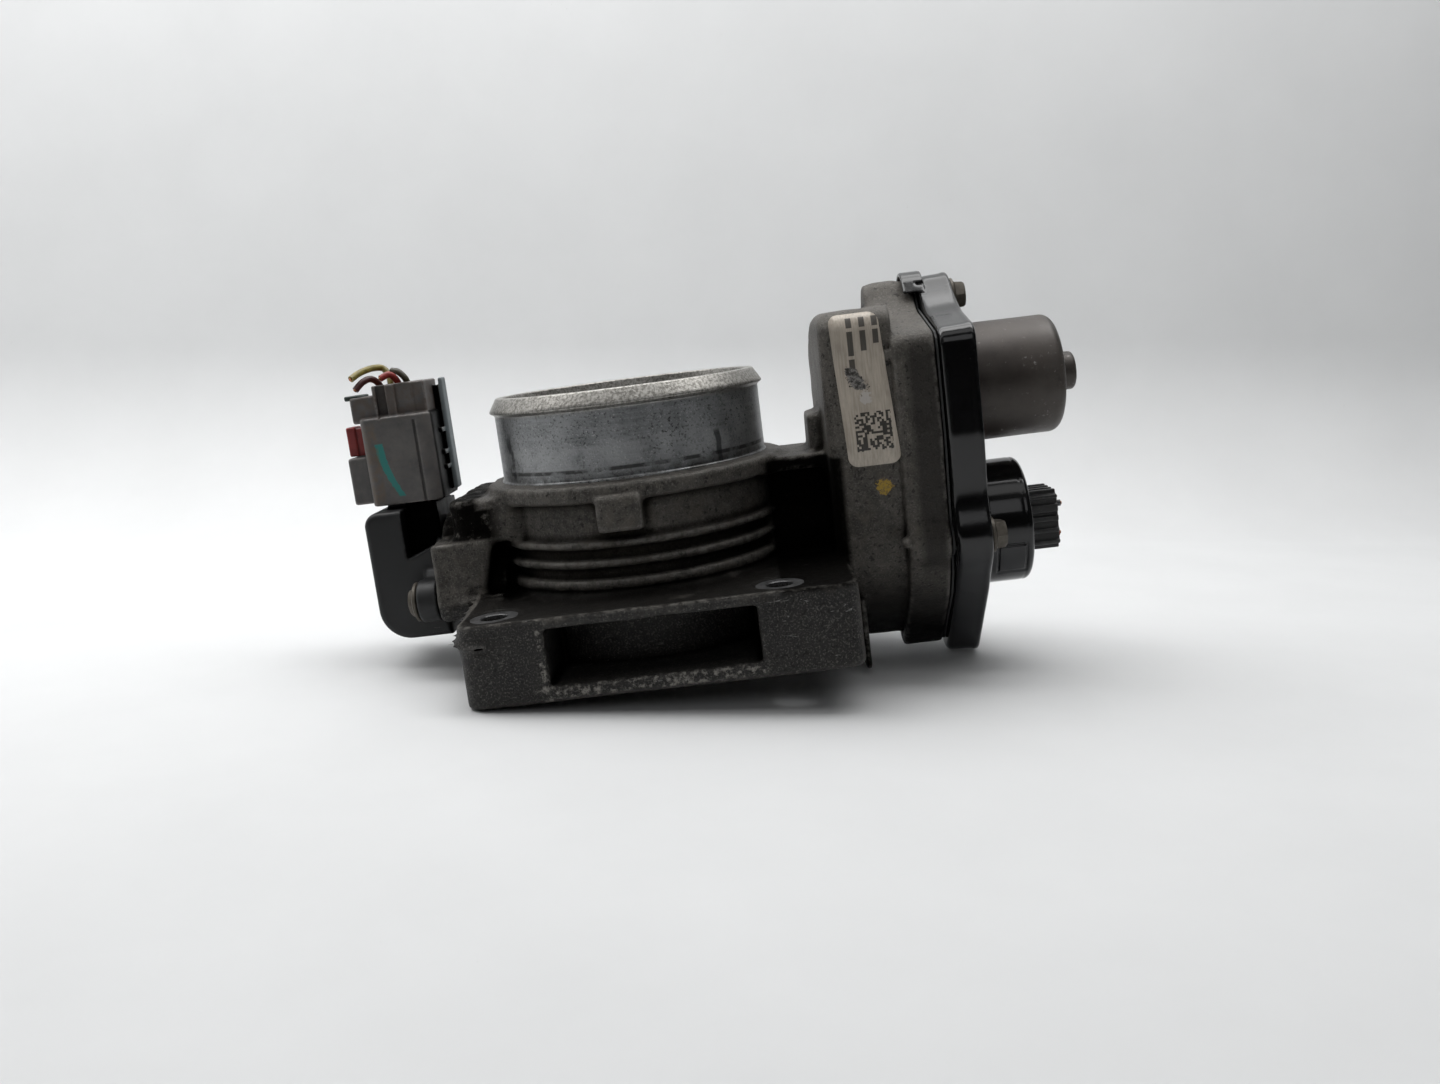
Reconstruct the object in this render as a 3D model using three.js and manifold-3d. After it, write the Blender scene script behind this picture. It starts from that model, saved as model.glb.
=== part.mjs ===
// Electronic throttle body: cast housing with a 65 mm bore, butterfly plate on a cross shaft,
// a motor-driven gear train in a covered case on the right, and a position sensor on the left.
// Millimetres, +Z up along the bore. The modelling frame has the bore axis at x = y = 0 and the
// flange's mounting face at z = 0; the whole group is then moved so that the origin is at the
// bottom centre of the object's own box.
import * as THREE from 'three';
import { ConvexGeometry } from 'three/addons/geometries/ConvexGeometry.js';
import { mergeVertices } from 'three/addons/utils/BufferGeometryUtils.js';
import Module from 'manifold-3d';

const wasm = await Module();
wasm.setup();

// ---------------------------------------------------------------- driving dimensions
const GAP = 0.3;
const BORE_R = 32.5;
const SPIGOT_R = 38;
const RIM_TOP = 76.2;
const BEAD = { r: 39.3, bottom: 71.8 };
const LEAD_IN = { r: 34.8, depth: 6 };
const ROUND_SIDES = 40;
const FLANGE = { left: -46, right: 57, half: 56.4, top: 22, corner: 5 };
const BOLT = { x: 37.3, y: 46, r: 3.5, spotR: 7, spotDepth: 0.5 };
const POCKET = { left: -23.5, right: 31, bottom: 4, top: 19, inner: 39 };
const RING = { r: 42.8, bottom: 47.3, top: 52.3 };
const RIB_LEVELS = [25.6, 30.9, 36];
const RIB = { r: 40.4, half: 1.4 };
const ROOT_FILLET = 6;
const FRONT_BOSS = { left: -7.6, right: 4.4, front: -44.3, bottom: 39.6, top: 48.3 };

const SHAFT_Z = 29;
const SHAFT_R = 5;
const SHAFT_END_R = 4;
const SHAFT = { left: -66, right: 84.5, shoulderLeft: -57.5, shoulderRight: 58.6, chamfer: 0.4 };
const SEAT = { r: 8.1, inner: 43, left: -58 };
const BEARING = { inner: 5.3, outer: 7.8, from: 47.6, to: 56.2 };
const SEAL = { from: 43.5, to: 47.1 };
const PLATE = { r: 32.1, thick: 2, slot: 2.6, flat: 3.3, screws: [-16, 16], holeR: 1.8 };
const REST_ANGLE = THREE.MathUtils.degToRad(7);
const CLOSED_TRAVEL = THREE.MathUtils.degToRad(7);
const OPEN_TRAVEL = THREE.MathUtils.degToRad(77);

const CASE = { step: 73, seam: 84.4, wall: 2.3, rimWall: 4.2, innerLeft: 58, lugLeft: 70.6 };
const GASKET = { left: 84.7, right: 85.2 };
const COVER = { left: 85.5, right: 95, inner: 92.2 };
const COVER_SCREWS = [[2, 89], [-28, 24.5], [26.5, 84], [32, 24.5], [22, 4]];
const SCREW = { r: 2.1, flangeR: 4.9, hexR: 3.9, tip: 77, holeR: 2.5, postR: 5.1 };

const MOTOR_Z = 64;
const CAN = { r: 17, left: 76.4, right: 122.5, wall: 1.1, bossR: 5.4, bossRight: 128 };
const MODULE = 1;
const PRESSURE = THREE.MathUtils.degToRad(25);
const BACKLASH = 0.28;
const TEETH = { sector: 48, idlerSmall: 11, idlerLarge: 28, pinion: 10 };
const IDLER_PIN_R = 2;
const SECTOR = { left: 60, right: 66, hubR: 9, hubLeft: 59, hubRight: 80.2, span: 1.95,
  hookRight: 69, hookR: 14.1 };
const IDLER_LEVELS = { smallLeft: 59.8, smallRight: 67.5, largeLeft: 67.3, largeRight: 71.3 };
const SPRING = { left: 70.6, right: 78.6, r: 11.4, wire: 0.85, turns: 4.5, steps: 8, start: 1.4 };
const MOTOR_SHAFT = { r: 1.6, left: 65.2, right: 126 };

const SENSOR = { left: -77.8, right: -57.4, bottom: 11.2, top: 48.5, half: 14.2, earR: 6, earLeft: -63 };
const ARM_LEFT = -51.2;
const GUSSET = { left: -57, low: 18, lowRight: -45, high: 39, highRight: -39.5, front: -25.5, back: -13 };
const SENSOR_SCREWS = [[-20, 23], [20, 35]];
const ROTOR = { r: 8.6, left: -70.5, right: -59.5, roomR: 10 };
const TOWER = { left: -72.4, right: -59.8, half: 6.5, top: 71.5 };
const PLUG = { left: -75.6, right: -55.2, half: 9.8, bottom: 49.9, shoulder: 75, top: 84,
  ledgeLeft: -81.7, ledgeBottom: 50.6, ledgeTop: 64.2, railRight: -53.2, railBottom: 51.5 };
const WIRE = { r: 0.95, holeR: 1.3, first: -69.9, pitch: 2.55 };
const CAP = { y: -2, z: 23.5, r: 18, left: 95.3, right: 109.5 };
const BLADE_OFFSETS = [-4, 4];
const MOTOR_PLUG = { y: -2, z: 23.2, halfY: 8.2, halfZ: 8.5, left: 97.6, right: 118.7 };
const PLUG_RIBS = { places: [-5.6, -1.9, 1.9, 5.6], half: 0.7, tall: 2 };
const PLUG_WIRES = [3.2, -5.4];

// ---------------------------------------------------------------- solids from three.js shapes
function solid(geometry) {
  const bare = geometry.clone();
  bare.deleteAttribute('normal');
  bare.deleteAttribute('uv');
  const merged = mergeVertices(bare, 1e-4);
  return new wasm.Manifold(new wasm.Mesh({
    numProp: 3,
    vertProperties: new Float32Array(merged.attributes.position.array),
    triVerts: new Uint32Array(merged.index.array),
  }));
}

function geometryOf(manifold) {
  const mesh = manifold.getMesh();
  const geometry = new THREE.BufferGeometry();
  geometry.setAttribute('position', new THREE.BufferAttribute(new Float32Array(mesh.vertProperties), 3));
  geometry.setIndex(new THREE.BufferAttribute(new Uint32Array(mesh.triVerts), 1));
  return geometry;
}

const join = (...parts) => parts.reduce((whole, part) => whole.add(part));
const cut = (whole, ...parts) => parts.reduce((rest, part) => rest.subtract(part), whole);

// A flat shape drawn in (y, z) and pulled along X, in (x, z) along Y, or in (x, y) along Z.
const FROM_YZ = new THREE.Matrix4().makeBasis(
  new THREE.Vector3(0, 1, 0), new THREE.Vector3(0, 0, 1), new THREE.Vector3(1, 0, 0));
const FROM_XZ = new THREE.Matrix4().makeBasis(
  new THREE.Vector3(1, 0, 0), new THREE.Vector3(0, 0, 1), new THREE.Vector3(0, -1, 0));

function pulled(shape, depth, segments = 8) {
  return new THREE.ExtrudeGeometry(shape, { depth, bevelEnabled: false, curveSegments: segments });
}

function alongX(shape, x0, x1, segments) {
  return solid(pulled(shape, x1 - x0, segments).applyMatrix4(FROM_YZ).translate(x0, 0, 0));
}

function alongY(shape, y0, y1, segments) {
  return solid(pulled(shape, y1 - y0, segments).applyMatrix4(FROM_XZ).translate(0, y1, 0));
}

function alongZ(shape, z0, z1, segments) {
  return solid(pulled(shape, z1 - z0, segments).translate(0, 0, z0));
}

function box(x0, x1, y0, y1, z0, z1) {
  const geometry = new THREE.BoxGeometry(x1 - x0, y1 - y0, z1 - z0);
  return solid(geometry.translate((x0 + x1) / 2, (y0 + y1) / 2, (z0 + z1) / 2));
}

// Turned pieces: a closed profile of [radius, height] points, spun about Z, X or any place.
function turned(profile, sides = 32) {
  const points = profile.map(([radius, height]) => new THREE.Vector2(radius, height));
  if (points[0].x > 0 || points.at(-1).x > 0) points.push(points[0].clone());
  return new THREE.LatheGeometry(points, sides);
}

function turnedZ(profile, x = 0, y = 0, sides = 32) {
  return solid(turned(profile, sides).rotateX(Math.PI / 2).translate(x, y, 0));
}

function turnedX(profile, y, z, sides = 32) {
  return solid(turned(profile, sides).rotateZ(-Math.PI / 2).translate(0, y, z));
}

const rod = (r, a, b) => [[0, a], [r, a], [r, b], [0, b]];
const tube = (inner, outer, a, b) => [[inner, a], [outer, a], [outer, b], [inner, b]];
const rodX = (x0, x1, r, y, z, sides = 24) => turnedX(rod(r, x0, x1), y, z, sides);
const rodZ = (z0, z1, r, x, y, sides = 24) => turnedZ(rod(r, z0, z1), x, y, sides);

function roundedRect(a0, a1, b0, b1, r) {
  const shape = new THREE.Shape();
  shape.moveTo(a0 + r, b0);
  shape.absarc(a1 - r, b0 + r, r, -Math.PI / 2, 0);
  shape.absarc(a1 - r, b1 - r, r, 0, Math.PI / 2);
  shape.absarc(a0 + r, b1 - r, r, Math.PI / 2, Math.PI);
  shape.absarc(a0 + r, b0 + r, r, Math.PI, Math.PI * 1.5);
  return shape;
}

// The convex skin around a set of circles, each { x, y, z, r } lying in its own YZ plane.
function skin(circles) {
  const points = [];
  for (const circle of circles) {
    const sides = circle.r > 12 ? 24 : 12;
    for (let i = 0; i < sides; i += 1) {
      const angle = (2 * Math.PI * i) / sides;
      points.push(new THREE.Vector3(
        circle.x, circle.y + circle.r * Math.cos(angle), circle.z + circle.r * Math.sin(angle)));
    }
  }
  return solid(new ConvexGeometry(points));
}

const slab = (circles, x0, x1, grow = 0) => skin(
  circles.flatMap(([y, z, r]) => [x0, x1].map((x) => ({ x, y, z, r: r + grow }))));

// ---------------------------------------------------------------- materials
const finish = (color, roughness, metalness) => (
  new THREE.MeshStandardMaterial({ color, roughness, metalness }));
const CAST = finish(0x55504b, 0.7, 0.6);
const STEEL = finish(0x8d8f92, 0.35, 1);
const DARK_STEEL = finish(0x504944, 0.5, 0.8);
const BRASS = finish(0xa8813c, 0.35, 1);
const COPPER = finish(0x8a4f2c, 0.4, 0.9);
const GLOSS_BLACK = finish(0x0d0d0e, 0.25, 0);
const MATTE_BLACK = finish(0x242426, 0.6, 0);
const RUBBER = finish(0x1a1a1a, 0.9, 0);
const NYLON = finish(0xd9d4c4, 0.5, 0);
const GREY_PLASTIC = finish(0x4b4644, 0.6, 0);
const RED_PLASTIC = finish(0x963232, 0.5, 0);
const GREEN_PLASTIC = finish(0x1d2a22, 0.5, 0);
const SILICONE = finish(0x9a4a2c, 0.8, 0);
const LABEL = finish(0xbeb2a5, 0.5, 0.2);
const WIRE_COLOURS = [
  ['sensor_wire_dark_red', 0x5a1f1f], ['sensor_wire_yellow', 0xa8a24a],
  ['sensor_wire_red', 0xa83a34], ['sensor_wire_olive', 0x5c5638]];

const group = new THREE.Group();
const throttle = new THREE.Group();
throttle.position.z = SHAFT_Z;
throttle.rotation.x = REST_ANGLE;
group.add(throttle);

function add(name, manifold, material, parent = group) {
  const mesh = new THREE.Mesh(geometryOf(manifold), material);
  mesh.name = name;
  parent.add(mesh);
}

// ---------------------------------------------------------------- outlines of the gear case
// Circles [y, z, r] whose convex skins make the case: the main lobe and the top screw lug.
const UPPER_RIM = [[-29.3, 76.4, 5.5], [0, MOTOR_Z, 24.5], [20, 70, 8], [-16.2, 54, 18.6],
  [0, SHAFT_Z, 31]];
const RIM_LOBE = [...UPPER_RIM, [6, -5.2, 8]];
const COVER_LOBE = [...UPPER_RIM, [6, -8.2, 8]];
const BODY_LOBE = [[-26.4, 82.9, 5.6], [0, MOTOR_Z, 24.5], [16, 74, 8], [-16.2, 54, 17.4],
  [0, SHAFT_Z, 29], [5, -1.5, 7.5]];
const TOP_LUG = [[2.5, 89.2, 6.3], [2, 78, 13]];
const SCREW_LUGS = COVER_SCREWS.slice(1).map(([y, z]) => [
  [y, z, 5.6], [y * 0.55, z * 0.8 + 8, 9]]);

function rimSlab(lobe, x0, x1, grow) {
  return join(slab(lobe, x0, x1, grow), slab(TOP_LUG, x0, x1, grow),
    ...SCREW_LUGS.map((lug) => slab(lug, x0, x1, grow)));
}

// The room inside the rim, which leaves a post standing at every cover screw.
function rimRoom(x0, x1) {
  return cut(slab(RIM_LOBE, x0, x1, -CASE.rimWall),
    ...COVER_SCREWS.map(([y, z]) => rodX(x0 - 1, x1 + 1, SCREW.postR, y, z, 16)));
}

const screwHoles = (x0, x1) => COVER_SCREWS.map(([y, z]) => rodX(x0, x1, SCREW.holeR, y, z, 12));

// Gear centres. The idler sits to the front of the line between shaft and motor.
const reach = {
  sectorIdler: ((TEETH.sector + TEETH.idlerSmall) * MODULE) / 2,
  idlerPinion: ((TEETH.idlerLarge + TEETH.pinion) * MODULE) / 2,
};
const span = MOTOR_Z - SHAFT_Z;
const rise = (span ** 2 + reach.sectorIdler ** 2 - reach.idlerPinion ** 2) / (2 * span);
const IDLER = { y: -Math.sqrt(reach.sectorIdler ** 2 - rise ** 2), z: SHAFT_Z + rise };
const towardsIdler = Math.atan2(IDLER.z - SHAFT_Z, IDLER.y);
const towardsMotor = Math.atan2(MOTOR_Z - IDLER.z, -IDLER.y);

// ---------------------------------------------------------------- gear teeth
const involute = (angle) => Math.tan(angle) - angle;

function halfTooth(pitchR, radius) {
  const baseR = pitchR * Math.cos(PRESSURE);
  const there = Math.acos(Math.min(1, baseR / Math.max(radius, baseR)));
  const thickness = (Math.PI * MODULE) / 2 - BACKLASH;
  return thickness / (2 * pitchR) + involute(PRESSURE) - involute(there);
}

// One tooth's outline points as [radius, angle], centred on the given angle.
function toothPoints(teeth, centre) {
  const pitchR = (teeth * MODULE) / 2;
  const radii = [pitchR - 1.12 * MODULE, pitchR - 0.2 * MODULE, pitchR + 0.85 * MODULE];
  const left = radii.map((radius) => [radius, centre - halfTooth(pitchR, radius)]);
  const right = radii.toReversed().map((radius) => [radius, centre + halfTooth(pitchR, radius)]);
  return [...left, ...right];
}

// The sector's teeth on each side of the one that meets the idler at rest, and its lower flank.
const TEETH_BEFORE = 12;
const TEETH_AFTER = 3;
const FIRST_TOOTH = towardsIdler - (2 * Math.PI * TEETH_BEFORE) / TEETH.sector;
const SECTOR_FLANK = toothPoints(TEETH.sector, FIRST_TOOTH)[0][1];

function polarShape(points) {
  return new THREE.Shape(points.map(([radius, angle]) => (
    new THREE.Vector2(radius * Math.cos(angle), radius * Math.sin(angle)))));
}

function gear(teeth, firstTooth, x0, x1) {
  const points = [];
  for (let i = 0; i < teeth; i += 1) {
    points.push(...toothPoints(teeth, firstTooth + (2 * Math.PI * i) / teeth));
  }
  return alongX(polarShape(points), x0, x1);
}

// A toothed sector: so many teeth before and after the one at the given angle, and flanks that
// run straight in to the hub.
function toothedSector(teeth, centre, before, after, hubR) {
  const points = [];
  for (let i = -before; i <= after; i += 1) {
    points.push(...toothPoints(teeth, centre + (2 * Math.PI * i) / teeth));
  }
  const low = points[0][1];
  const high = points.at(-1)[1];
  points.push([hubR, high], [hubR, (low + high) / 2 + Math.PI], [hubR, low]);
  return polarShape(points);
}

// ---------------------------------------------------------------- the cast housing
function flange() {
  const plate = alongZ(roundedRect(
    FLANGE.left, FLANGE.right, -FLANGE.half, FLANGE.half, FLANGE.corner), 0, FLANGE.top, 5);
  const pocket = (y0, y1) => cut(
    box(POCKET.left, POCKET.right, y0, y1, POCKET.bottom, POCKET.top),
    rodZ(-1, FLANGE.top + 1, POCKET.inner, 0, 0, 48));
  const holes = [-1, 1].flatMap((sx) => [-1, 1].map((sy) => join(
    rodZ(-1, FLANGE.top + 1, BOLT.r, sx * BOLT.x, sy * BOLT.y, 20),
    rodZ(FLANGE.top - BOLT.spotDepth, FLANGE.top + 1, BOLT.spotR, sx * BOLT.x, sy * BOLT.y, 24))));
  return cut(plate, pocket(-FLANGE.half - 1, -20), pocket(20, FLANGE.half + 1), ...holes);
}

function boreBody() {
  const profile = [[0, 0.5], [SPIGOT_R, 0.5], [SPIGOT_R, POCKET.top + 0.5],
    [SPIGOT_R + ROOT_FILLET, FLANGE.top - 0.5],
    ...RIB_LEVELS.flatMap((z) => [[SPIGOT_R, z - RIB.half], [RIB.r, z - RIB.half / 2],
      [RIB.r, z + RIB.half / 2], [SPIGOT_R, z + RIB.half]]),
    [SPIGOT_R, RING.bottom], [RING.r, RING.bottom], [RING.r, RING.top - 1], [SPIGOT_R, RING.top + 0.9],
    [SPIGOT_R, BEAD.bottom - 0.6], [BEAD.r, BEAD.bottom], [BEAD.r - 2.2, RIM_TOP], [0, RIM_TOP]];
  return turnedZ(profile, 0, 0, ROUND_SIDES);
}

function sensorPad() {
  const pad = slab([...SENSOR_SCREWS.map(([y, z]) => [y, z, 6.6]), [0, SHAFT_Z, 15.5]], -57, -48);
  const shank = slab([[-18, 25, 4], [18, 33, 4], [0, SHAFT_Z, 14]], -48.5, -40);
  const shelf = cut(
    alongZ(roundedRect(ARM_LEFT, -30, -24, 24, 5), 37.5, 50, 4),
    box(-60, -48.5, -12, 30, 30, 39));
  const brace = box(-50, -40, -9, 9, 0.5, 30);
  const g = GUSSET;
  const side = new THREE.Shape([[g.left, g.low], [g.lowRight, g.low], [g.highRight, g.high],
    [g.left, g.high]].map(([x, z]) => new THREE.Vector2(x, z)));
  return join(pad, shank, shelf, brace, alongY(side, g.front, g.back));
}

function caseWeb() {
  const shelf = box(36, 57, -17, 17, 46.8, 51);
  const wall = box(36, 57, -7, 7, 20, 50);
  const boss = rodX(30, 58.5, 12.5, 0, SHAFT_Z, 24);
  const ribEnd = box(50.5, 57, -13, 9, 50, 61.5);
  const fin = box(59.2, 60.8, -22, -12, -11, 9);
  return join(shelf, wall, boss, ribEnd, fin);
}

// The case's left end is drafted: each station is [x, how much the outline grows there, how far
// its lowest lobe is lifted].
const CASE_STATIONS = [[54.5, -6.5, 8], [57, -2.2, 6], [61, 0, 0], [CASE.step + 0.5, 0, 0]];

function caseOutside() {
  const circles = CASE_STATIONS.flatMap(([x, grow, lift]) => BODY_LOBE.map(([y, z, r]) => (
    { x, y, z: z < 10 ? z + lift : z, r: Math.max(r + grow, 1) })));
  return join(skin(circles), slab(TOP_LUG, CASE.lugLeft, CASE.seam, -0.6),
    rimSlab(RIM_LOBE, CASE.step, CASE.seam, -0.7));
}

function caseInside() {
  return join(slab(BODY_LOBE, CASE.innerLeft, CASE.step + 0.5, -CASE.wall),
    rimRoom(CASE.step, CASE.seam + 1), ...screwHoles(75, CASE.seam + 1));
}

// The cast lump that the sector gear's lower flank meets when the plate is shut.
function closedStop() {
  const top = SECTOR_FLANK - CLOSED_TRAVEL - 0.016;
  const shape = polarShape([[15, top - 0.32], [22.5, top - 0.32], [22.5, top], [15, top]]);
  return alongX(shape, CASE.innerLeft - 1, 65.5).translate([0, 0, SHAFT_Z]);
}

function shaftHoles() {
  const seat = (x0, x1) => rodX(x0, x1, SEAT.r, 0, SHAFT_Z, 24);
  return [seat(SEAT.left, -SEAT.inner), seat(SEAT.inner, CASE.innerLeft + 1),
    rodX(-SEAT.inner - 1, SEAT.inner + 1, SHAFT_R + 0.5, 0, SHAFT_Z, 24),
    ...SENSOR_SCREWS.map(([y, z]) => rodX(SEAT.left, -49, SCREW.r + 0.2, y, z, 12))];
}

function housing() {
  const bore = turnedZ([[0, -1], [BORE_R, -1], [BORE_R, RIM_TOP - LEAD_IN.depth], [LEAD_IN.r, RIM_TOP],
    [LEAD_IN.r, RIM_TOP + 5], [0, RIM_TOP + 5]], 0, 0, ROUND_SIDES);
  const boss = FRONT_BOSS;
  const frontBoss = box(boss.left, boss.right, boss.front, 1 - SPIGOT_R, boss.bottom, boss.top);
  const pinSeat = rodX(CASE.innerLeft - 3, CASE.innerLeft + 1.2, 5, IDLER.y, IDLER.z, 16);
  const pinHole = rodX(CASE.innerLeft - 1.5, CASE.innerLeft + 2, IDLER_PIN_R + GAP, IDLER.y, IDLER.z, 16);
  const outside = join(flange(), boreBody(), frontBoss, sensorPad(), caseWeb(), caseOutside());
  const shell = cut(outside, caseInside());
  return cut(join(shell, pinSeat, closedStop()), bore, pinHole, ...shaftHoles());
}

// ---------------------------------------------------------------- shaft supports and plate
function addSupports() {
  for (const [side, way] of [['left', -1], ['right', 1]]) {
    const place = (from, to) => [Math.min(way * from, way * to), Math.max(way * from, way * to)];
    const ring = ({ from, to }) => tube(BEARING.inner, BEARING.outer, ...place(from, to));
    add(`shaft_bearing_${side}`, turnedX(ring(BEARING), 0, SHAFT_Z, 24), STEEL);
    add(`shaft_seal_${side}`, turnedX(ring(SEAL), 0, SHAFT_Z, 24), RUBBER);
  }
}

function addThrottle() {
  const { left, right, shoulderLeft, shoulderRight, chamfer } = SHAFT;
  const shaft = turnedX([[0, left], [SHAFT_END_R - chamfer, left], [SHAFT_END_R, left + chamfer],
    [SHAFT_END_R, shoulderLeft], [SHAFT_R, shoulderLeft], [SHAFT_R, shoulderRight],
    [SHAFT_END_R, shoulderRight], [SHAFT_END_R, right - chamfer], [SHAFT_END_R - chamfer, right],
    [0, right]], 0, 0, 24);
  const slot = box(-BORE_R, BORE_R, -10, 10, -PLATE.slot / 2, PLATE.slot / 2);
  const flat = box(-29, 29, -10, 10, PLATE.flat, 10);
  const holes = PLATE.screws.map((x) => rodZ(-10, 10, PLATE.holeR, x, 0, 12));
  add('throttle_shaft', cut(shaft, slot, flat, ...holes), STEEL, throttle);

  const disc = turnedZ(rod(PLATE.r, -PLATE.thick / 2, PLATE.thick / 2), 0, 0, ROUND_SIDES);
  add('throttle_plate', cut(disc, ...holes), BRASS, throttle);

  PLATE.screws.forEach((x, i) => {
    const profile = [[0, -4.6], [1.5, -4.6], [1.5, 3.6], [2.9, 3.6], [2.9, 4.3], [1.8, 5], [0, 5]];
    add(`plate_screw_${i + 1}`, turnedZ(profile, x, 0, 12), STEEL, throttle);
  });

  const nut = cut(rodX(80.6, 83.6, 6.6, 0, 0, 6), rodX(80, 84, SHAFT_END_R + GAP, 0, 0, 16));
  add('shaft_nut', nut, STEEL, throttle);
}

function addSectorGear() {
  const turn = -REST_ANGLE;
  const low = SECTOR_FLANK + turn;
  const high = low + SECTOR.span;
  const teeth = toothedSector(TEETH.sector, towardsIdler + turn, TEETH_BEFORE, TEETH_AFTER, SECTOR.hubR);
  const hub = rodX(SECTOR.hubLeft, SECTOR.hubRight, SECTOR.hubR, 0, 0, 24);
  const hook = polarShape([[8, low + 0.25], [SECTOR.hookR, low + 0.3], [SECTOR.hookR, low + 0.55],
    [8, low + 0.75]]);
  const window = polarShape([[12.5, low + 0.7], [19.5, low + 0.5], [19.5, high - 0.5], [12.5, high - 0.7]]);
  const web = alongX(teeth, SECTOR.left, SECTOR.right);
  const body = cut(join(web, hub, alongX(hook, SECTOR.right - 1, SECTOR.hookRight)),
    rodX(50, 90, SHAFT_END_R + GAP, 0, 0, 24), alongX(window, 50, 68));
  add('sector_gear', body, NYLON, throttle);
}

function tubeAlong(points, r, sides, steps) {
  const path = new THREE.CatmullRomCurve3(points.map(([x, y, z]) => new THREE.Vector3(x, y, z)));
  const section = new THREE.Shape();
  for (let i = 0; i < sides; i += 1) {
    const angle = (2 * Math.PI * i) / sides;
    const method = i === 0 ? 'moveTo' : 'lineTo';
    section[method](r * Math.cos(angle), r * Math.sin(angle));
  }
  section.closePath();
  return solid(new THREE.ExtrudeGeometry(section, { steps, extrudePath: path, bevelEnabled: false }));
}

// A torsion coil round the gear's hub, whose right end runs out to an anchor in the case.
function addReturnSpring() {
  const { left, right, r, wire, turns, steps, start } = SPRING;
  const onCoil = (angle, radius, x) => [x, radius * Math.cos(angle), SHAFT_Z + radius * Math.sin(angle)];
  const count = Math.round(turns * steps);
  const points = [];
  for (let i = 0; i <= count; i += 1) {
    points.push(onCoil(start + (2 * Math.PI * i) / steps, r, left + ((right - left) * i) / count));
  }
  const end = start + (2 * Math.PI * count) / steps;
  const leg = [[0.3, 1.5], [0.42, 4], [0.46, 8]];
  points.push(...leg.map(([angle, out]) => onCoil(end + angle, r + out, right)));
  add('return_spring', tubeAlong(points, wire, 5, count * 2), DARK_STEEL);
}

// ---------------------------------------------------------------- idler and motor
function addIdler() {
  const { smallLeft, smallRight, largeLeft, largeRight } = IDLER_LEVELS;
  const meshing = towardsIdler + Math.PI + Math.PI / TEETH.idlerSmall;
  const small = gear(TEETH.idlerSmall, meshing, smallLeft, smallRight);
  const large = gear(TEETH.idlerLarge, towardsMotor, largeLeft, largeRight);
  const bored = cut(join(small, large).translate([0, IDLER.y, IDLER.z]),
    rodX(50, 80, IDLER_PIN_R + 0.22, IDLER.y, IDLER.z, 16));
  add('idler_gear', bored, NYLON);
  add('idler_pin', rodX(CASE.innerLeft - 1.2, 71.8, IDLER_PIN_R, IDLER.y, IDLER.z, 16), STEEL);
}

function addMotor() {
  const { r, left, right, wall, bossR, bossRight } = CAN;
  add('motor_can', turnedX([[r - wall, left], [r, left], [r, right - 2], [r - 2, right],
    [bossR, right], [bossR, bossRight - 0.6], [bossR - 0.6, bossRight], [0, bossRight],
    [0, bossRight - 1], [3.6, bossRight - 1], [3.6, right - wall], [r - wall, right - wall]],
  0, MOTOR_Z, 32), DARK_STEEL);

  const endPlate = join(turnedX(tube(4, r, 73.3, 76.1), 0, MOTOR_Z, 32),
    turnedX(tube(4, r - wall - GAP, 75.8, 77.6), 0, MOTOR_Z, 32));
  add('motor_end_plate', endPlate, DARK_STEEL);
  add('motor_bushing_front', turnedX(tube(1.9, 3.7, 73.4, 77.4), 0, MOTOR_Z, 16), BRASS);
  add('motor_bushing_rear', turnedX(tube(1.9, 3.3, 122.6, 126.6), 0, MOTOR_Z, 16), BRASS);

  const arc = (from, to) => {
    const shape = new THREE.Shape();
    shape.absarc(0, 0, 15.6, from, to, false);
    shape.absarc(0, 0, 12.9, to, from, true);
    shape.closePath();
    return alongX(shape, 84, 118, 12).translate([0, 0, MOTOR_Z]);
  };
  add('motor_magnet_front', arc(Math.PI * 0.64, Math.PI * 1.36), DARK_STEEL);
  add('motor_magnet_rear', arc(-Math.PI * 0.36, Math.PI * 0.36), DARK_STEEL);

  const brush = (side) => box(79.4, 82.2, -1.6, 1.6, MOTOR_Z + side * 7.2 - 1.8,
    MOTOR_Z + side * 7.2 + 1.8);
  add('motor_brush_upper', brush(1), DARK_STEEL);
  add('motor_brush_lower', brush(-1), DARK_STEEL);

  const poles = [];
  for (let i = 0; i < 5; i += 1) {
    const centre = (2 * Math.PI * i) / 5;
    for (const [radius, offset] of [[5.2, -0.58], [5.2, -0.2], [10.4, -0.12], [10.8, -0.5], [12.3, -0.5],
      [12.3, -0.25], [12.3, 0], [12.3, 0.25], [12.3, 0.5], [10.8, 0.5], [10.4, 0.12], [5.2, 0.2]]) {
      poles.push([radius, centre + offset]);
    }
  }
  const core = alongX(polarShape(poles), 86, 116).translate([0, 0, MOTOR_Z]);
  const shaftHole = rodX(60, 130, MOTOR_SHAFT.r + GAP, 0, MOTOR_Z, 12);
  add('motor_armature', cut(core, shaftHole), COPPER);
  add('motor_commutator', cut(rodX(78.6, 85.4, 5, 0, MOTOR_Z, 20), shaftHole), COPPER);
  add('motor_shaft', rodX(MOTOR_SHAFT.left, MOTOR_SHAFT.right, MOTOR_SHAFT.r, 0, MOTOR_Z, 12), STEEL);
  const pinion = gear(TEETH.pinion, towardsMotor + Math.PI + Math.PI / TEETH.pinion, 66, 72.4);
  add('motor_pinion', cut(pinion.translate([0, 0, MOTOR_Z]), shaftHole), STEEL);
}

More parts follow.
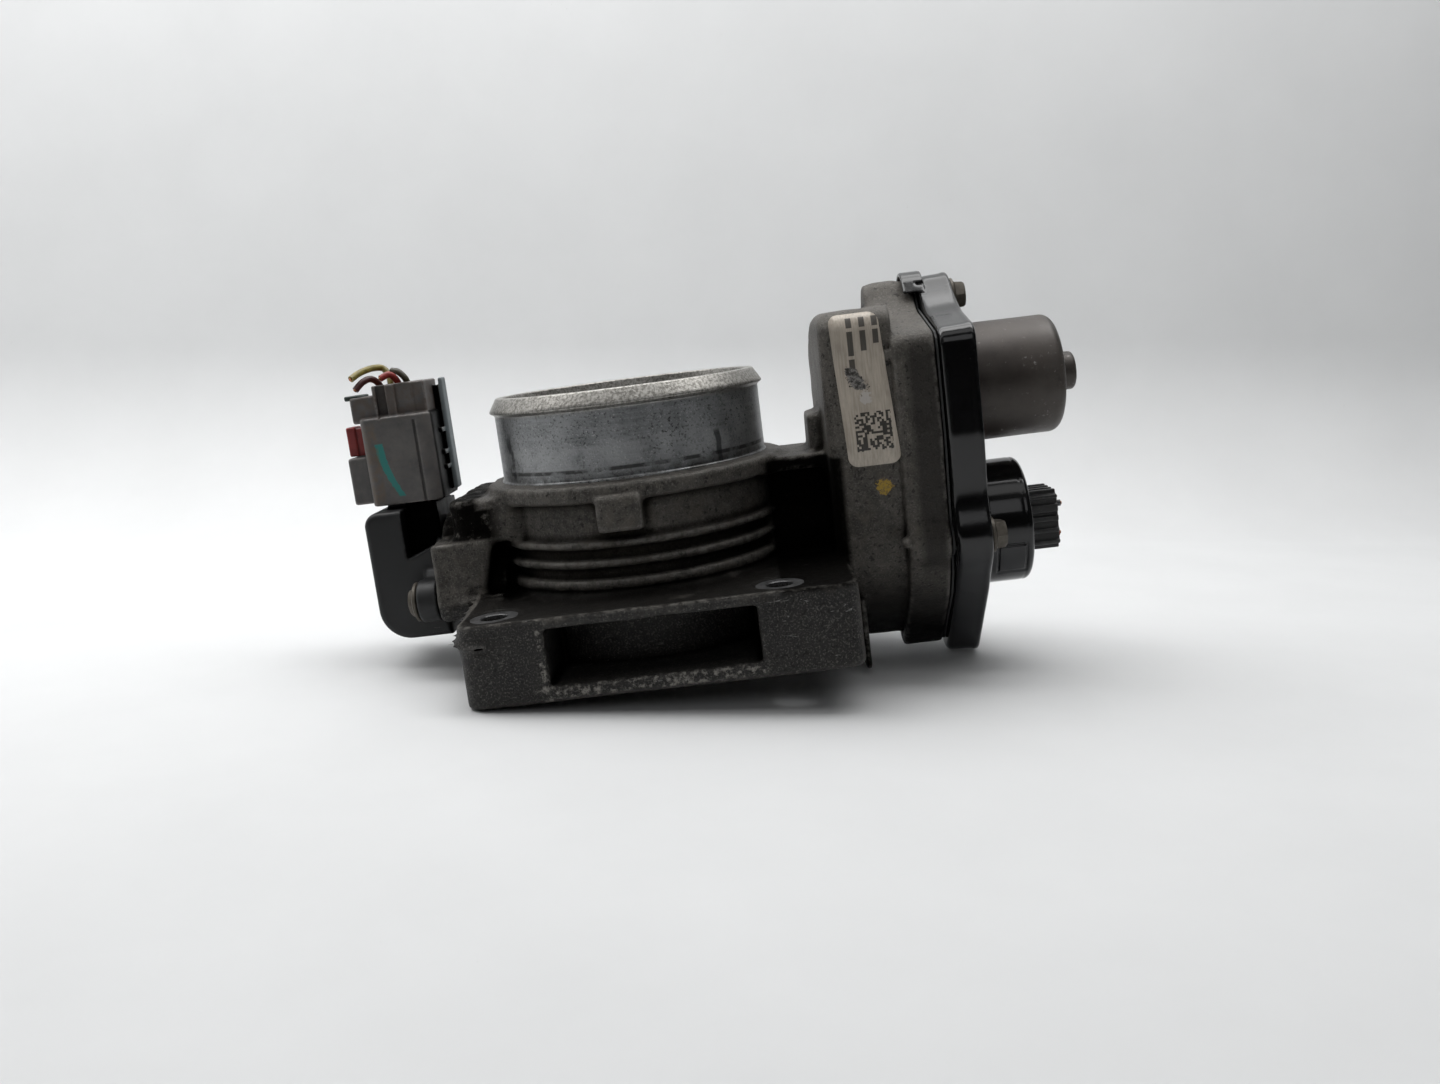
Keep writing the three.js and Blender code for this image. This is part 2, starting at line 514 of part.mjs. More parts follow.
// ---------------------------------------------------------------- gear cover
function addCover() {
  const collar = turnedX(tube(CAN.r + 0.6, CAN.r + 2.6, COVER.right - 1, COVER.right + 1.3), 0, MOTOR_Z, 32);
  const canHole = rodX(80, 100, CAN.r + 0.4, 0, MOTOR_Z, 32);
  const bladeHoles = BLADE_OFFSETS.map((dy) => box(88, 99, CAP.y + dy - 1.5, CAP.y + dy + 1.5, 20, 26));
  add('gear_cover', cut(join(rimSlab(COVER_LOBE, COVER.left, COVER.right, 0), collar),
    rimRoom(COVER.left - 1, COVER.inner), canHole, ...screwHoles(80, 100), ...bladeHoles), GLOSS_BLACK);

  add('cover_gasket', cut(rimSlab(RIM_LOBE, GASKET.left, GASKET.right, -1.2),
    rimRoom(GASKET.left - 1, GASKET.right + 1), ...screwHoles(80, 100)), RUBBER);

  const { r, flangeR, hexR, tip } = SCREW;
  const seat = COVER.right;
  const screw = [[0, tip], [r, tip], [r, seat + GAP], [flangeR, seat + GAP], [flangeR, seat + 1.4],
    [hexR, seat + 1.6], [hexR, seat + 4.2], [0, seat + 4.2]];
  COVER_SCREWS.forEach(([y, z], i) => {
    add(`cover_screw_${i + 1}`, turnedX(screw, y, z, 12), STEEL);
  });
}

function addMotorConnector() {
  const { y, z, r, left, right } = CAP;
  const p = MOTOR_PLUG;
  const cup = turnedX([[0, left], [r, left], [r, right - 1.6], [r - 1.6, right], [0, right]], y, z, 40);
  const room = turnedX(rod(r - 2.2, left + 2.4, right - 2.6), y, z, 32);
  const mouth = box(left + 1, right + 1, p.y - p.halfY - 0.6, p.y + p.halfY + 0.6,
    p.z - p.halfZ - 0.6, p.z + p.halfZ + 0.6);
  const bladeSlots = BLADE_OFFSETS.map((dy) => box(left - 1, left + 4, y + dy - 1.5, y + dy + 1.5, 20, 26));
  add('connector_shroud', cut(cup, room, mouth, ...bladeSlots), GLOSS_BLACK);

  BLADE_OFFSETS.forEach((dy, i) => {
    add(`motor_blade_${i + 1}`, box(89, 104, y + dy - 0.4, y + dy + 0.4, 21, 25), BRASS);
  });

  const { places, half, tall } = PLUG_RIBS;
  const ribs = places.flatMap((dy) => [p.z - p.halfZ, p.z + p.halfZ - tall].map((z0) => box(
    right - 1, p.right, p.y + dy - half, p.y + dy + half, z0, z0 + tall)));
  const head = box(p.left, right, p.y - p.halfY, p.y + p.halfY, p.z - p.halfZ, p.z + p.halfZ);
  const neck = box(right - 1, p.right, p.y - p.halfY, p.y + p.halfY,
    p.z - p.halfZ + 1.2, p.z + p.halfZ - 1.2);
  const sockets = BLADE_OFFSETS.map((dy) => box(p.left - 1, 105, y + dy - 1, y + dy + 1, 20.2, 25.8));
  const wireHoles = PLUG_WIRES.map((dz) => rodX(106, p.right + 1, WIRE.holeR, p.y, p.z + dz, 12));
  add('motor_plug', cut(join(head, neck, ...ribs), ...sockets, ...wireHoles), MATTE_BLACK);
  add('motor_wire_upper', rodX(110, 121.2, WIRE.r, p.y, p.z + PLUG_WIRES[0], 8), GREY_PLASTIC);
  add('motor_wire_lower', rodX(110, 120.4, WIRE.r, p.y, p.z + PLUG_WIRES[1], 8), RED_PLASTIC);
}

// ---------------------------------------------------------------- throttle position sensor
function addSensor() {
  const s = SENSOR;
  const outline = new THREE.Shape();
  outline.moveTo(s.right, s.bottom);
  outline.lineTo(s.right, s.top);
  outline.absarc(s.left + 4, s.top - 4, 4, Math.PI / 2, Math.PI);
  outline.absarc(s.left + 9, s.bottom + 9, 9, Math.PI, Math.PI * 1.5);
  const body = alongY(outline, -s.half, s.half, 6);
  const ears = SENSOR_SCREWS.flatMap(([y, z]) => [
    rodX(s.earLeft, s.right, s.earR, y, z, 24),
    slab([[y, z, 4], [0, SHAFT_Z, 9]], s.earLeft + 1, s.right)]);
  const tower = box(TOWER.left, TOWER.right, -TOWER.half, TOWER.half, s.top - 1, TOWER.top);
  const mouth = box(TOWER.left + 1.4, TOWER.right - 1.4, -TOWER.half + 1.4, TOWER.half - 1.4, 52.5, 80);
  const rotorRoom = rodX(-72, s.right + 1, ROTOR.roomR, 0, SHAFT_Z, 24);
  const ringGroove = turnedX(tube(10.8, 13.4, -59.6, -50), 0, SHAFT_Z, 24);
  const holes = SENSOR_SCREWS.map(([y, z]) => rodX(-70, -50, SCREW.holeR, y, z, 12));
  const bladeHoles = WIRE_COLOURS.map((_, i) => box(
    WIRE.first + i * WIRE.pitch - 0.65, WIRE.first + i * WIRE.pitch + 0.65, -1.3, 1.3, 47.5, 60));
  add('sensor_body', cut(join(body, ...ears, tower), mouth, rotorRoom, ringGroove, ...holes, ...bladeHoles),
    MATTE_BLACK);

  WIRE_COLOURS.forEach((_, i) => {
    const x = WIRE.first + i * WIRE.pitch;
    add(`sensor_blade_${i + 1}`, box(x - 0.32, x + 0.32, -1, 1, 47.8, 66), BRASS);
  });
  const ring = new THREE.TorusGeometry(12.1, 0.95, 6, 24);
  add('sensor_o_ring', solid(ring.rotateY(Math.PI / 2).translate(-58.4, 0, SHAFT_Z)), RUBBER);

  SENSOR_SCREWS.forEach(([y, z], i) => {
    const seat = s.earLeft - GAP;
    const screw = [[0, -66], [SCREW.hexR, -66], [SCREW.hexR, -64.4], [5.5, -64.2], [5.5, seat], [2, seat],
      [2, -49.5], [0, -49.5]];
    add(`sensor_screw_${i + 1}`, turnedX(screw, y, z, 12), STEEL);
  });

  const rotor = cut(rodX(ROTOR.left, ROTOR.right, ROTOR.r, 0, 0, 24),
    rodX(-80, -50, SHAFT_END_R + GAP, 0, 0, 16));
  add('sensor_rotor', rotor, NYLON, throttle);
}

// ---------------------------------------------------------------- sensor plug and its wires
function addSensorPlug() {
  const p = PLUG;
  const front = new THREE.Shape();
  front.moveTo(p.left, p.half);
  front.lineTo(p.left, -p.half + 3);
  front.lineTo(p.left + 3, -p.half);
  front.lineTo(p.right - 4, -p.half);
  front.lineTo(p.right, -p.half + 4);
  front.lineTo(p.right, p.half);
  const sleeve = alongZ(front, p.bottom, p.shoulder);
  const low = p.shoulder - 1;
  const upper = join(box(-75.2, -59.9, -7.6, 8, low, p.top - 2.8), box(-71, -59.9, -7.6, 8, low, p.top));
  const ledge = box(p.ledgeLeft, p.left + 1, -6, 6, p.ledgeBottom, p.ledgeTop);
  const hood = box(-78.3, p.left + 1, -6, 6, 73.8, 80.2);
  const rail = join(box(p.railRight - 1.2, p.railRight, 3, 7.5, p.railBottom, p.top),
    box(p.right - 1.5, p.railRight - 1, 4, 6.5, p.railBottom, p.top - 2),
    box(-60.4, p.railRight - 1, -3, 7.5, low, p.top));
  const sleeveRoom = box(-73, -59.3, -7, 7, p.bottom - 1, 73.3);
  const core = box(-70.3, -62, -4.4, 4.4, 55, 74);
  const bladeSlots = WIRE_COLOURS.map((_, i) => {
    const x = WIRE.first + i * WIRE.pitch;
    return box(x - 0.75, x + 0.75, -1.5, 1.5, 50, 70);
  });
  const wireHoles = WIRE_COLOURS.map((_, i) => rodZ(68, 90, WIRE.holeR, WIRE.first + i * WIRE.pitch, 0, 10));
  const hoodRoom = box(-79.2, -75.9, -3.6, 3.6, 70, 79.2);
  const well = box(-73.8, -61.4, -5.6, 6, 76.8, p.top + 1);
  const slot = box(-68.8, -64.4, -9, 0, 78, p.top + 1);
  const shell = join(sleeve, upper, ledge, hood, rail);
  const body = join(cut(shell, sleeveRoom, well, slot, hoodRoom), core);
  add('sensor_plug', cut(body, ...bladeSlots, ...wireHoles), GREY_PLASTIC);

  const mat = cut(box(-73.4, -61.8, -5.2, 5.6, 77.1, 80), ...wireHoles);
  add('wire_seal', mat, SILICONE);

  const lock = box(p.ledgeLeft, p.left - 0.6, -3.2, 3.2, p.ledgeTop + GAP, 73);
  add('plug_lock_slide', lock, RED_PLASTIC);

  const latch = join(box(-71.4, -62.4, p.half + 1.4, p.half + 2.6, 59, 82),
    box(-71.4, -62.4, p.half + 1.4, p.half + 4.6, 79.5, 82));
  add('plug_latch', latch, GREY_PLASTIC);
  add('plug_terminal_lock', box(-79.8, -75.9, -5.6, 5.6, 80.5, 81.9), GREEN_PLASTIC);
}

const WIRE_ROUTES = {
  sensor_wire_dark_red: [[-69.9, 0, 77.4], [-69.9, 0, 81], [-70.4, -1.2, 84.4], [-71.8, -3.4, 86],
    [-73.6, -5.4, 85.4], [-75.6, -7, 83.4]],
  sensor_wire_yellow: [[-67.35, 0, 75], [-67.35, 0, 80], [-67.4, 0.4, 83.6], [-68, 2, 86.6],
    [-69.6, 2.6, 88.6], [-71.4, 0.6, 89], [-73.2, -2.4, 88.6], [-74.8, -5, 87.8], [-76.2, -7.4, 86.6]],
  sensor_wire_red: [[-64.8, 0, 77.4], [-64.8, 0, 82], [-65.1, -1.2, 84.8], [-66.6, -2.6, 86.6],
    [-68.8, -4.2, 85.8]],
  sensor_wire_olive: [[-62.25, 0, 77.4], [-62.25, 0, 82.4], [-62.7, -0.6, 85], [-64.4, -0.4, 87],
    [-66.6, 1, 87.6]],
};

function addWires() {
  for (const [name, colour] of WIRE_COLOURS) {
    const route = WIRE_ROUTES[name];
    add(name, tubeAlong(route, WIRE.r, 8, (route.length - 1) * 2), finish(colour, 0.5, 0));
  }
}

// ---------------------------------------------------------------- identification label
function addLabel() {
  const film = cut(slab(BODY_LOBE, 60.5, 72.6, 0.8), slab(BODY_LOBE, 59, 74, GAP));
  add('blank_label', film.intersect(box(60, 73, -50, -10, 47, 86)), LABEL);
}

add('throttle_housing', housing(), CAST);
addSupports();
addThrottle();
addSectorGear();
addReturnSpring();
addIdler();
addMotor();
addCover();
addMotorConnector();
addSensor();
addSensorPlug();
addWires();
addLabel();

// The origin goes to the bottom centre of the box around everything but the loose wires.
group.updateMatrixWorld(true);
const extent = new THREE.Box3();
group.traverse((child) => {
  if (child.isMesh && !child.name.includes('_wire_')) extent.expandByObject(child, true);
});
const centre = extent.getCenter(new THREE.Vector3());
group.position.set(-centre.x, -centre.y, -extent.min.z);

export default group;
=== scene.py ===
"""Looks of the throttle body: cast housing, covers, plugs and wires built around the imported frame.

Shapes are written in the design frame, in millimetres: the bore axis is at x = y = 0 and the flange's
mounting face is at z = 0. place() takes them into the row frame, in metres. Castings and mouldings are
distance fields joined with fillets and then meshed; turned pieces are spun profiles.
"""

import math

import bpy
import numpy as np
from mathutils import Matrix, Vector
from mathutils.bvhtree import BVHTree


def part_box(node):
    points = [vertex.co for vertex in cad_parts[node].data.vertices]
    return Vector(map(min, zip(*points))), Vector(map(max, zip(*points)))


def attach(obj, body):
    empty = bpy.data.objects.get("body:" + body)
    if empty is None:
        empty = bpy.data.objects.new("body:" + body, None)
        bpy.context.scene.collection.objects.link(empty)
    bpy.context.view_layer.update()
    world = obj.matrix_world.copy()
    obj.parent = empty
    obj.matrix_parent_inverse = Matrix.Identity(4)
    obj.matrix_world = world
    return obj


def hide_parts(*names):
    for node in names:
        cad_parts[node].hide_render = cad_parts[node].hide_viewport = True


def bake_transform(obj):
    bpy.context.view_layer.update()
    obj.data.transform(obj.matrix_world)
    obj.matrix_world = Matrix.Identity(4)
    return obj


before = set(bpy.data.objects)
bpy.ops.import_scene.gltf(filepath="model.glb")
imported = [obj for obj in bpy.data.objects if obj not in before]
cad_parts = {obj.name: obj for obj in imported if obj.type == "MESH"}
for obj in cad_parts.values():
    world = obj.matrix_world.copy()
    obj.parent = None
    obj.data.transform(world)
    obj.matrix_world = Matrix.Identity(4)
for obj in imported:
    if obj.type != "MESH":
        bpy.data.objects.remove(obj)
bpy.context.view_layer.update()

MM = 0.001
SHAFT_Z = 29.0
_low, _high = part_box("throttle_plate")
_centre = (_low + _high) / 2
ORIGIN = Vector((_centre.x, _centre.y, _centre.z - SHAFT_Z * MM))

BODY = {
    "housing": "housing_assembly",
    "throttle": "throttle",
    "motor_plug": "motor_connector_plug",
    "sensor_plug": "sensor_connector_plug",
    "lock": "plug_lock",
    "latch": "latch_lever",
}

# Driving dimensions, the same as in the CAD.
BORE_R, SPIGOT_R = 32.5, 38.0
FLANGE = dict(left=-46.0, right=57.0, half=56.4, top=22.0, corner=5.0)
BOLT = dict(x=37.3, y=46.0, r=3.5, spot_r=7.0, spot_depth=0.5)
POCKET = dict(left=-23.5, right=31.0, bottom=4.0, top=19.0, inner=39.0)
RING = dict(r=42.8, bottom=47.3, top=52.3)
GUSSET = dict(left=-57, right=-39.5, low_right=-45, front=-25.5, back=-13, bottom=18, top=39)
RIB_LEVELS = (25.6, 30.9, 36.0)
MOTOR_Z = 64.0
CASE = dict(step=73.0, seam=84.4, wall=2.3, rim_wall=4.2, inner_left=58.0, lug_left=70.6)
COVER = dict(left=85.5, right=95.0, inner=92.2)
COVER_SCREWS = ((2, 89), (-28, 24.5), (26.5, 84), (32, 24.5), (22, 4))
SCREW_POST_R = 5.1
SENSOR = dict(left=-77.8, right=-57.4, bottom=11.2, top=48.5, half=14.2)
ARM_LEFT = -51.2
TOWER = dict(left=-72.4, right=-59.8, half=6.5, top=71.5)
SENSOR_SCREWS = ((-20, 23), (20, 35))
PLUG = dict(left=-75.6, right=-55.2, half=9.8, bottom=49.9, shoulder=75.0, top=84.0,
            ledge_left=-81.7, ledge_bottom=50.6, ledge_top=64.2, rail_right=-53.2, rail_bottom=51.5)
LATCH = dict(left=-71.4, right=-62.4, bottom=59, top=82)
CAP = dict(y=-2.0, z=23.5, r=18.0, left=95.3, right=109.5)
MOTOR_BLADES = (-4, 4)  # from the cap's middle, along Y
MOTOR_PLUG = dict(y=-2.0, z=23.2, half_y=8.2, half_z=8.5, left=97.6, right=118.7)
CAN = dict(r=17.0, left=76.4, right=122.5, boss_r=5.4, boss_right=128.0)
IDLER = (-16.01, 53.78)

# Circles (y, z, r) whose convex outlines make the gear case, as in the CAD.
UPPER_RIM = [(-29.3, 76.4, 5.5), (0, MOTOR_Z, 24.5), (20, 70, 8), (-16.2, 54, 18.6), (0, SHAFT_Z, 31)]
RIM_LOBE = UPPER_RIM + [(6, -5.2, 8)]
COVER_LOBE = UPPER_RIM + [(6, -8.2, 8)]
BODY_LOBE = [(-26.4, 82.9, 5.6), (0, MOTOR_Z, 24.5), (16, 74, 8), (-16.2, 54, 17.4), (0, SHAFT_Z, 29),
             (5, -1.5, 7.5)]
TOP_LUG = [(2.5, 89.2, 6.3), (2, 78, 13)]
SCREW_LUGS = [[(y, z, 5.6), (y * 0.55, z * 0.8 + 8, 9)] for y, z in COVER_SCREWS[1:]]


def cell(full):
    return full


# ------------------------------------------------------------------ distance fields
class Grid:
    """A regular grid in the design frame, with broadcastable X, Y and Z."""

    def __init__(self, low, high, step):
        self.step = step
        self.low = np.array(low, np.float32) - 2 * step
        counts = [int(math.ceil((b - a) / step)) + 5 for a, b in zip(low, high)]
        axes = [a + step * np.arange(n, dtype=np.float32) for a, n in zip(self.low, counts)]
        self.X = axes[0][:, None, None]
        self.Y = axes[1][None, :, None]
        self.Z = axes[2][None, None, :]

    def full(self, field):
        return np.broadcast_to(field, (self.X.size, self.Y.size, self.Z.size)).astype(np.float32)

    def sample(self, field, points):
        """The field's values at points, blended between the grid's nodes."""
        spot = np.clip((points - self.low) / self.step, 0, np.array(field.shape) - 1.001)
        base = spot.astype(int)
        part = spot - base
        total = np.zeros(len(points))
        for corner in np.ndindex(2, 2, 2):
            weight = np.prod(np.where(corner, part, 1 - part), axis=1)
            index = base + corner
            total += weight * field[index[:, 0], index[:, 1], index[:, 2]]
        return total


def join(a, b, fillet=0.0):
    if fillet <= 0:
        return np.minimum(a, b)
    near = np.maximum(fillet - np.abs(a - b), 0) / fillet
    return np.minimum(a, b) - near * near * fillet / 4


def meet(a, b, fillet=0.0):
    return -join(-a, -b, fillet)


def cut(a, b, fillet=0.0):
    return meet(a, -b, fillet)


def rounded_meet(a, b, r):
    """Where two fields meet, with the outer edge rounded to radius r."""
    p, q = a + r, b + r
    return np.minimum(np.maximum(p, q), 0) + np.hypot(np.maximum(p, 0), np.maximum(q, 0)) - r


def slab(axis, low, high):
    return np.maximum(low - axis, axis - high)


def box(g, x, y, z, r=0.0):
    p, q, s = slab(g.X, *x) + r, slab(g.Y, *y) + r, slab(g.Z, *z) + r
    outside = np.sqrt(np.maximum(p, 0) ** 2 + np.maximum(q, 0) ** 2 + np.maximum(s, 0) ** 2)
    return np.minimum(np.maximum(np.maximum(p, q), s), 0) + outside - r


def plate_z(g, x, y, corner, z, r):
    """A rectangle in plan with rounded corners, pulled along Z."""
    p, q = slab(g.X, *x) + corner, slab(g.Y, *y) + corner
    plan = np.minimum(np.maximum(p, q), 0) + np.hypot(np.maximum(p, 0), np.maximum(q, 0)) - corner
    return rounded_meet(plan, slab(g.Z, *z), r)


def rod_x(g, x, y, z, r, edge=0.0):
    return rounded_meet(np.hypot(g.Y - y, g.Z - z) - r, slab(g.X, *x), edge)


def rod_z(g, z, x, y, r, edge=0.0):
    return rounded_meet(np.hypot(g.X - x, g.Y - y) - r, slab(g.Z, *z), edge)


def hull_x(g, circles, x, edge):
    """The convex outline around circles (y, z, r), pulled along X."""
    return rounded_meet(outline(g.Y, g.Z, circles), slab(g.X, *x), edge)


def drilled_x(g, field, spots, x, r):
    """The field with a hole along X at each spot (y, z)."""
    for y, z in spots:
        field = cut(field, rod_x(g, x, y, z, r))
    return field


def around_posts(g, room):
    """A hollow that leaves a post round every cover screw."""
    for y, z in COVER_SCREWS:
        room = cut(room, np.hypot(g.Y - y, g.Z - z) - SCREW_POST_R, 0.8)
    return room


def tapered(Y, Z, a, b):
    """Distance to the convex outline around two circles (y, z, r)."""
    py, pz, by, bz = Y - a[0], Z - a[1], b[0] - a[0], b[1] - a[1]
    h = by * by + bz * bz
    q0, q1 = np.abs(py * bz - pz * by) / h, (py * by + pz * bz) / h
    d = a[2] - b[2]
    c0, c1 = math.sqrt(h - d * d), d
    k, m, n = c0 * q1 - c1 * q0, c0 * q0 + c1 * q1, q0 * q0 + q1 * q1
    far = np.sqrt(np.maximum(h * (n + 1 - 2 * q1), 0)) - b[2]
    return np.where(k < 0, np.sqrt(h * n) - a[2], np.where(k > c0, far, m - a[2]))


def outline(Y, Z, circles):
    """Distance to the convex outline around several circles."""
    field = np.full(np.broadcast(Y, Z).shape, 1e3, np.float32)
    for i, a in enumerate(circles):
        for b in circles[i + 1:]:
            field = np.minimum(field, tapered(Y, Z, a, b))
    if len(circles) < 3:
        return field
    middle = np.mean([c[:2] for c in circles], axis=0)
    around = sorted(circles, key=lambda c: math.atan2(c[1] - middle[1], c[0] - middle[0]))
    inside = np.full(field.shape, -1e3, np.float32)
    for a, b in zip(around, around[1:] + around[:1]):
        ey, ez = b[0] - a[0], b[1] - a[1]
        inside = np.maximum(inside, ((Y - a[0]) * ez - (Z - a[1]) * ey) / math.hypot(ey, ez))
    return np.minimum(field, inside)


def rim_outline(g, lobe, fillet=4.0):
    field = outline(g.Y, g.Z, lobe)
    for lug in [TOP_LUG] + SCREW_LUGS:
        field = join(field, outline(g.Y, g.Z, lug), fillet)
    return field


def lattice_noise(g, size, seed):
    """Smooth noise from -1 to 1 with bumps about size mm across."""
    shape = (g.X.size, g.Y.size, g.Z.size)
    rng = np.random.default_rng(seed)
    coarse = rng.uniform(-1, 1, [int(n * g.step / size) + 3 for n in shape]).astype(np.float32)
    for axis, n in enumerate(shape):
        t = np.arange(n) * g.step / size
        i = t.astype(int)
        f = (t - i).astype(np.float32)
        f = f * f * (3 - 2 * f)
        f = f.reshape([-1 if k == axis else 1 for k in range(3)])
        coarse = np.take(coarse, i, axis) * (1 - f) + np.take(coarse, i + 1, axis) * f
    return coarse


def blurred(field, cells):
    for axis in range(3):
        total = np.zeros_like(field)
        for shift in range(-cells, cells + 1):
            total += np.roll(field, shift, axis)
        field = total / (2 * cells + 1)
    return field


def crossings(field, inside):
    """For every cell, how many of its edges cross the surface and the sum of where they do."""
    shape = np.array(field.shape)
    cells = shape - 1
    total = np.zeros((*cells, 3), np.float32)
    count = np.zeros(cells, np.int16)
    for axis in range(3):
        a = [slice(None)] * 3
        b = [slice(None)] * 3
        a[axis], b[axis] = slice(0, -1), slice(1, None)
        f0, f1 = field[tuple(a)], field[tuple(b)]
        crossed = inside[tuple(a)] != inside[tuple(b)]
        t = np.where(crossed, f0 / np.where(crossed, f0 - f1, 1), 0)
        others = [k for k in range(3) if k != axis]
        for du in (0, 1):
            for dv in (0, 1):
                view = [slice(None)] * 3
                for k, d in zip(others, (du, dv)):
                    view[k] = slice(d, shape[k] - 1 + d)
                hit = crossed[tuple(view)]
                count += hit
                total[..., axis] += np.where(hit, t[tuple(view)], 0)
                total[..., others[0]] += hit * du
                total[..., others[1]] += hit * dv
    return count, total


def surface(g, field):
    """Vertices and quads of the field's zero surface, one vertex to a cell."""
    inside = field < 0
    count, total = crossings(field, inside)
    used = count > 0
    number = np.full(count.shape, -1, np.int32)
    number[used] = np.arange(used.sum())
    where = np.argwhere(used)
    points = g.low + g.step * (where + total[used] / count[used][:, None])
    quads = []
    for axis in range(3):
        u, v = [k for k in range(3) if k != axis]
        a = [slice(1, -1)] * 3
        a[axis] = slice(0, -1)
        b = [slice(1, -1)] * 3
        b[axis] = slice(1, None)
        start, end = inside[tuple(a)], inside[tuple(b)]
        where = np.argwhere(start != end)
        base = where + [0 if k == axis else 1 for k in range(3)]
        corners = []
        for du, dv in ((0, 0), (-1, 0), (-1, -1), (0, -1)):
            near = base.copy()
            near[:, u] += du
            near[:, v] += dv
            corners.append(number[tuple(near.T)])
        quad = np.stack(corners, 1)
        out = start[tuple(where.T)]
        flip = out if axis == 1 else ~out
        quad[flip] = quad[flip][:, ::-1]
        quads.append(quad)
    return points, np.concatenate(quads)


# ------------------------------------------------------------------ objects from points
def place(points):
    """Design frame in millimetres to row frame in metres."""
    return np.asarray(points, float) * MM + np.array(ORIGIN)


def new_object(name, points, faces, material, body, replaces=(), smooth=40.0):
    mesh = bpy.data.meshes.new(name)
    mesh.from_pydata(place(points).tolist(), [], [tuple(int(i) for i in f) for f in faces])
    mesh.update()
    obj = bpy.data.objects.new(name, mesh)
    bpy.context.scene.collection.objects.link(obj)
    return finish_object(obj, material, body, replaces, smooth)


def finish_object(obj, material, body, replaces=(), smooth=40.0):
    mesh = obj.data
    mesh.polygons.foreach_set("use_smooth", np.ones(len(mesh.polygons), bool))
    if smooth:
        mesh.set_sharp_from_angle(angle=math.radians(smooth))
    mesh.materials.clear()
    mesh.materials.append(material)
    if body:
        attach(obj, body)
    if replaces:
        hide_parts(*replaces)
    return obj


def applied(obj):
    """Applies the object's modifiers to its mesh."""
    graph = bpy.context.evaluated_depsgraph_get()
    graph.update()
    mesh = bpy.data.meshes.new_from_object(obj.evaluated_get(graph))
    obj.modifiers.clear()
    obj.data = mesh
    return obj


MARK_GAIN = 1.6


def field_object(name, g, field, material, body, node, faces):
    """Meshes a field, thins it to about so many triangles, and marks its edges for wear and its crevices for
    grime and painted shade.
    """
    field = np.ascontiguousarray(g.full(field))
    points, quads = surface(g, field)
    mesh = bpy.data.meshes.new(name)
    mesh.vertices.add(len(points))
    mesh.vertices.foreach_set("co", place(points).astype(np.float32).ravel())
    mesh.loops.add(quads.size)
    mesh.loops.foreach_set("vertex_index", quads.ravel().astype(np.int32))
    mesh.polygons.add(len(quads))
    mesh.polygons.foreach_set("loop_start", np.arange(0, quads.size, 4, dtype=np.int32))
    mesh.update(calc_edges=True)
    obj = bpy.data.objects.new(name, mesh)
    bpy.context.scene.collection.objects.link(obj)
    if 2 * len(quads) > faces:
        thin = obj.modifiers.new("thin", "DECIMATE")
        thin.ratio = faces / (2 * len(quads))
        applied(obj)
    mesh = obj.data
    bend = (blurred(field, 2) - field) / g.step
    co = np.zeros(len(mesh.vertices) * 3, np.float32)
    mesh.vertices.foreach_get("co", co)
    design = (co.reshape(-1, 3) - np.array(ORIGIN)) / MM
    value = g.sample(bend, design)
    for label, sign in (("wear", 1), ("crevice_grime_and_shade", -1)):
        attribute = mesh.attributes.new(label, "FLOAT", "POINT")
        attribute.data.foreach_set("value", np.clip(sign * value * MARK_GAIN, 0, 1).astype(np.float32))
    return finish_object(obj, MAT[material], BODY[body], [node], None)


def spun(name, profile, axis, centre, material, body, replaces=(), sides=96, closed=False):
    """Spins a profile of (radius, height) about an axis through centre: 'x' or 'z'."""
    points, faces, rows = [], [], []
    for r, h in profile:
        if r < 1e-6:
            rows.append([len(points)])
            points.append((0, 0, h))
            continue
        rows.append(list(range(len(points), len(points) + sides)))
        for i in range(sides):
            a = 2 * math.pi * i / sides
            points.append((r * math.cos(a), r * math.sin(a), h))
    pairs = list(zip(rows, rows[1:])) + ([(rows[-1], rows[0])] if closed else [])
    for a, b in pairs:
        for i in range(sides):
            j = (i + 1) % sides
            face = [a[i % len(a)], a[j % len(a)], b[j % len(b)], b[i % len(b)]]
            face = list(dict.fromkeys(face))
            if len(face) > 2:
                faces.append(face)
    p = np.array(points, float)
    if axis == "x":
        p = p[:, [2, 0, 1]]
    return new_object(name, p + np.array(centre), faces, material, body, replaces, 35.0)


def arc(cr, ch, r, a0, a1, n=6):
    """Points (radius, height) of an arc, with angles in degrees from the outward direction."""
    steps = np.radians(np.linspace(a0, a1, n))
    return [(cr + r * math.cos(a), ch + r * math.sin(a)) for a in steps]


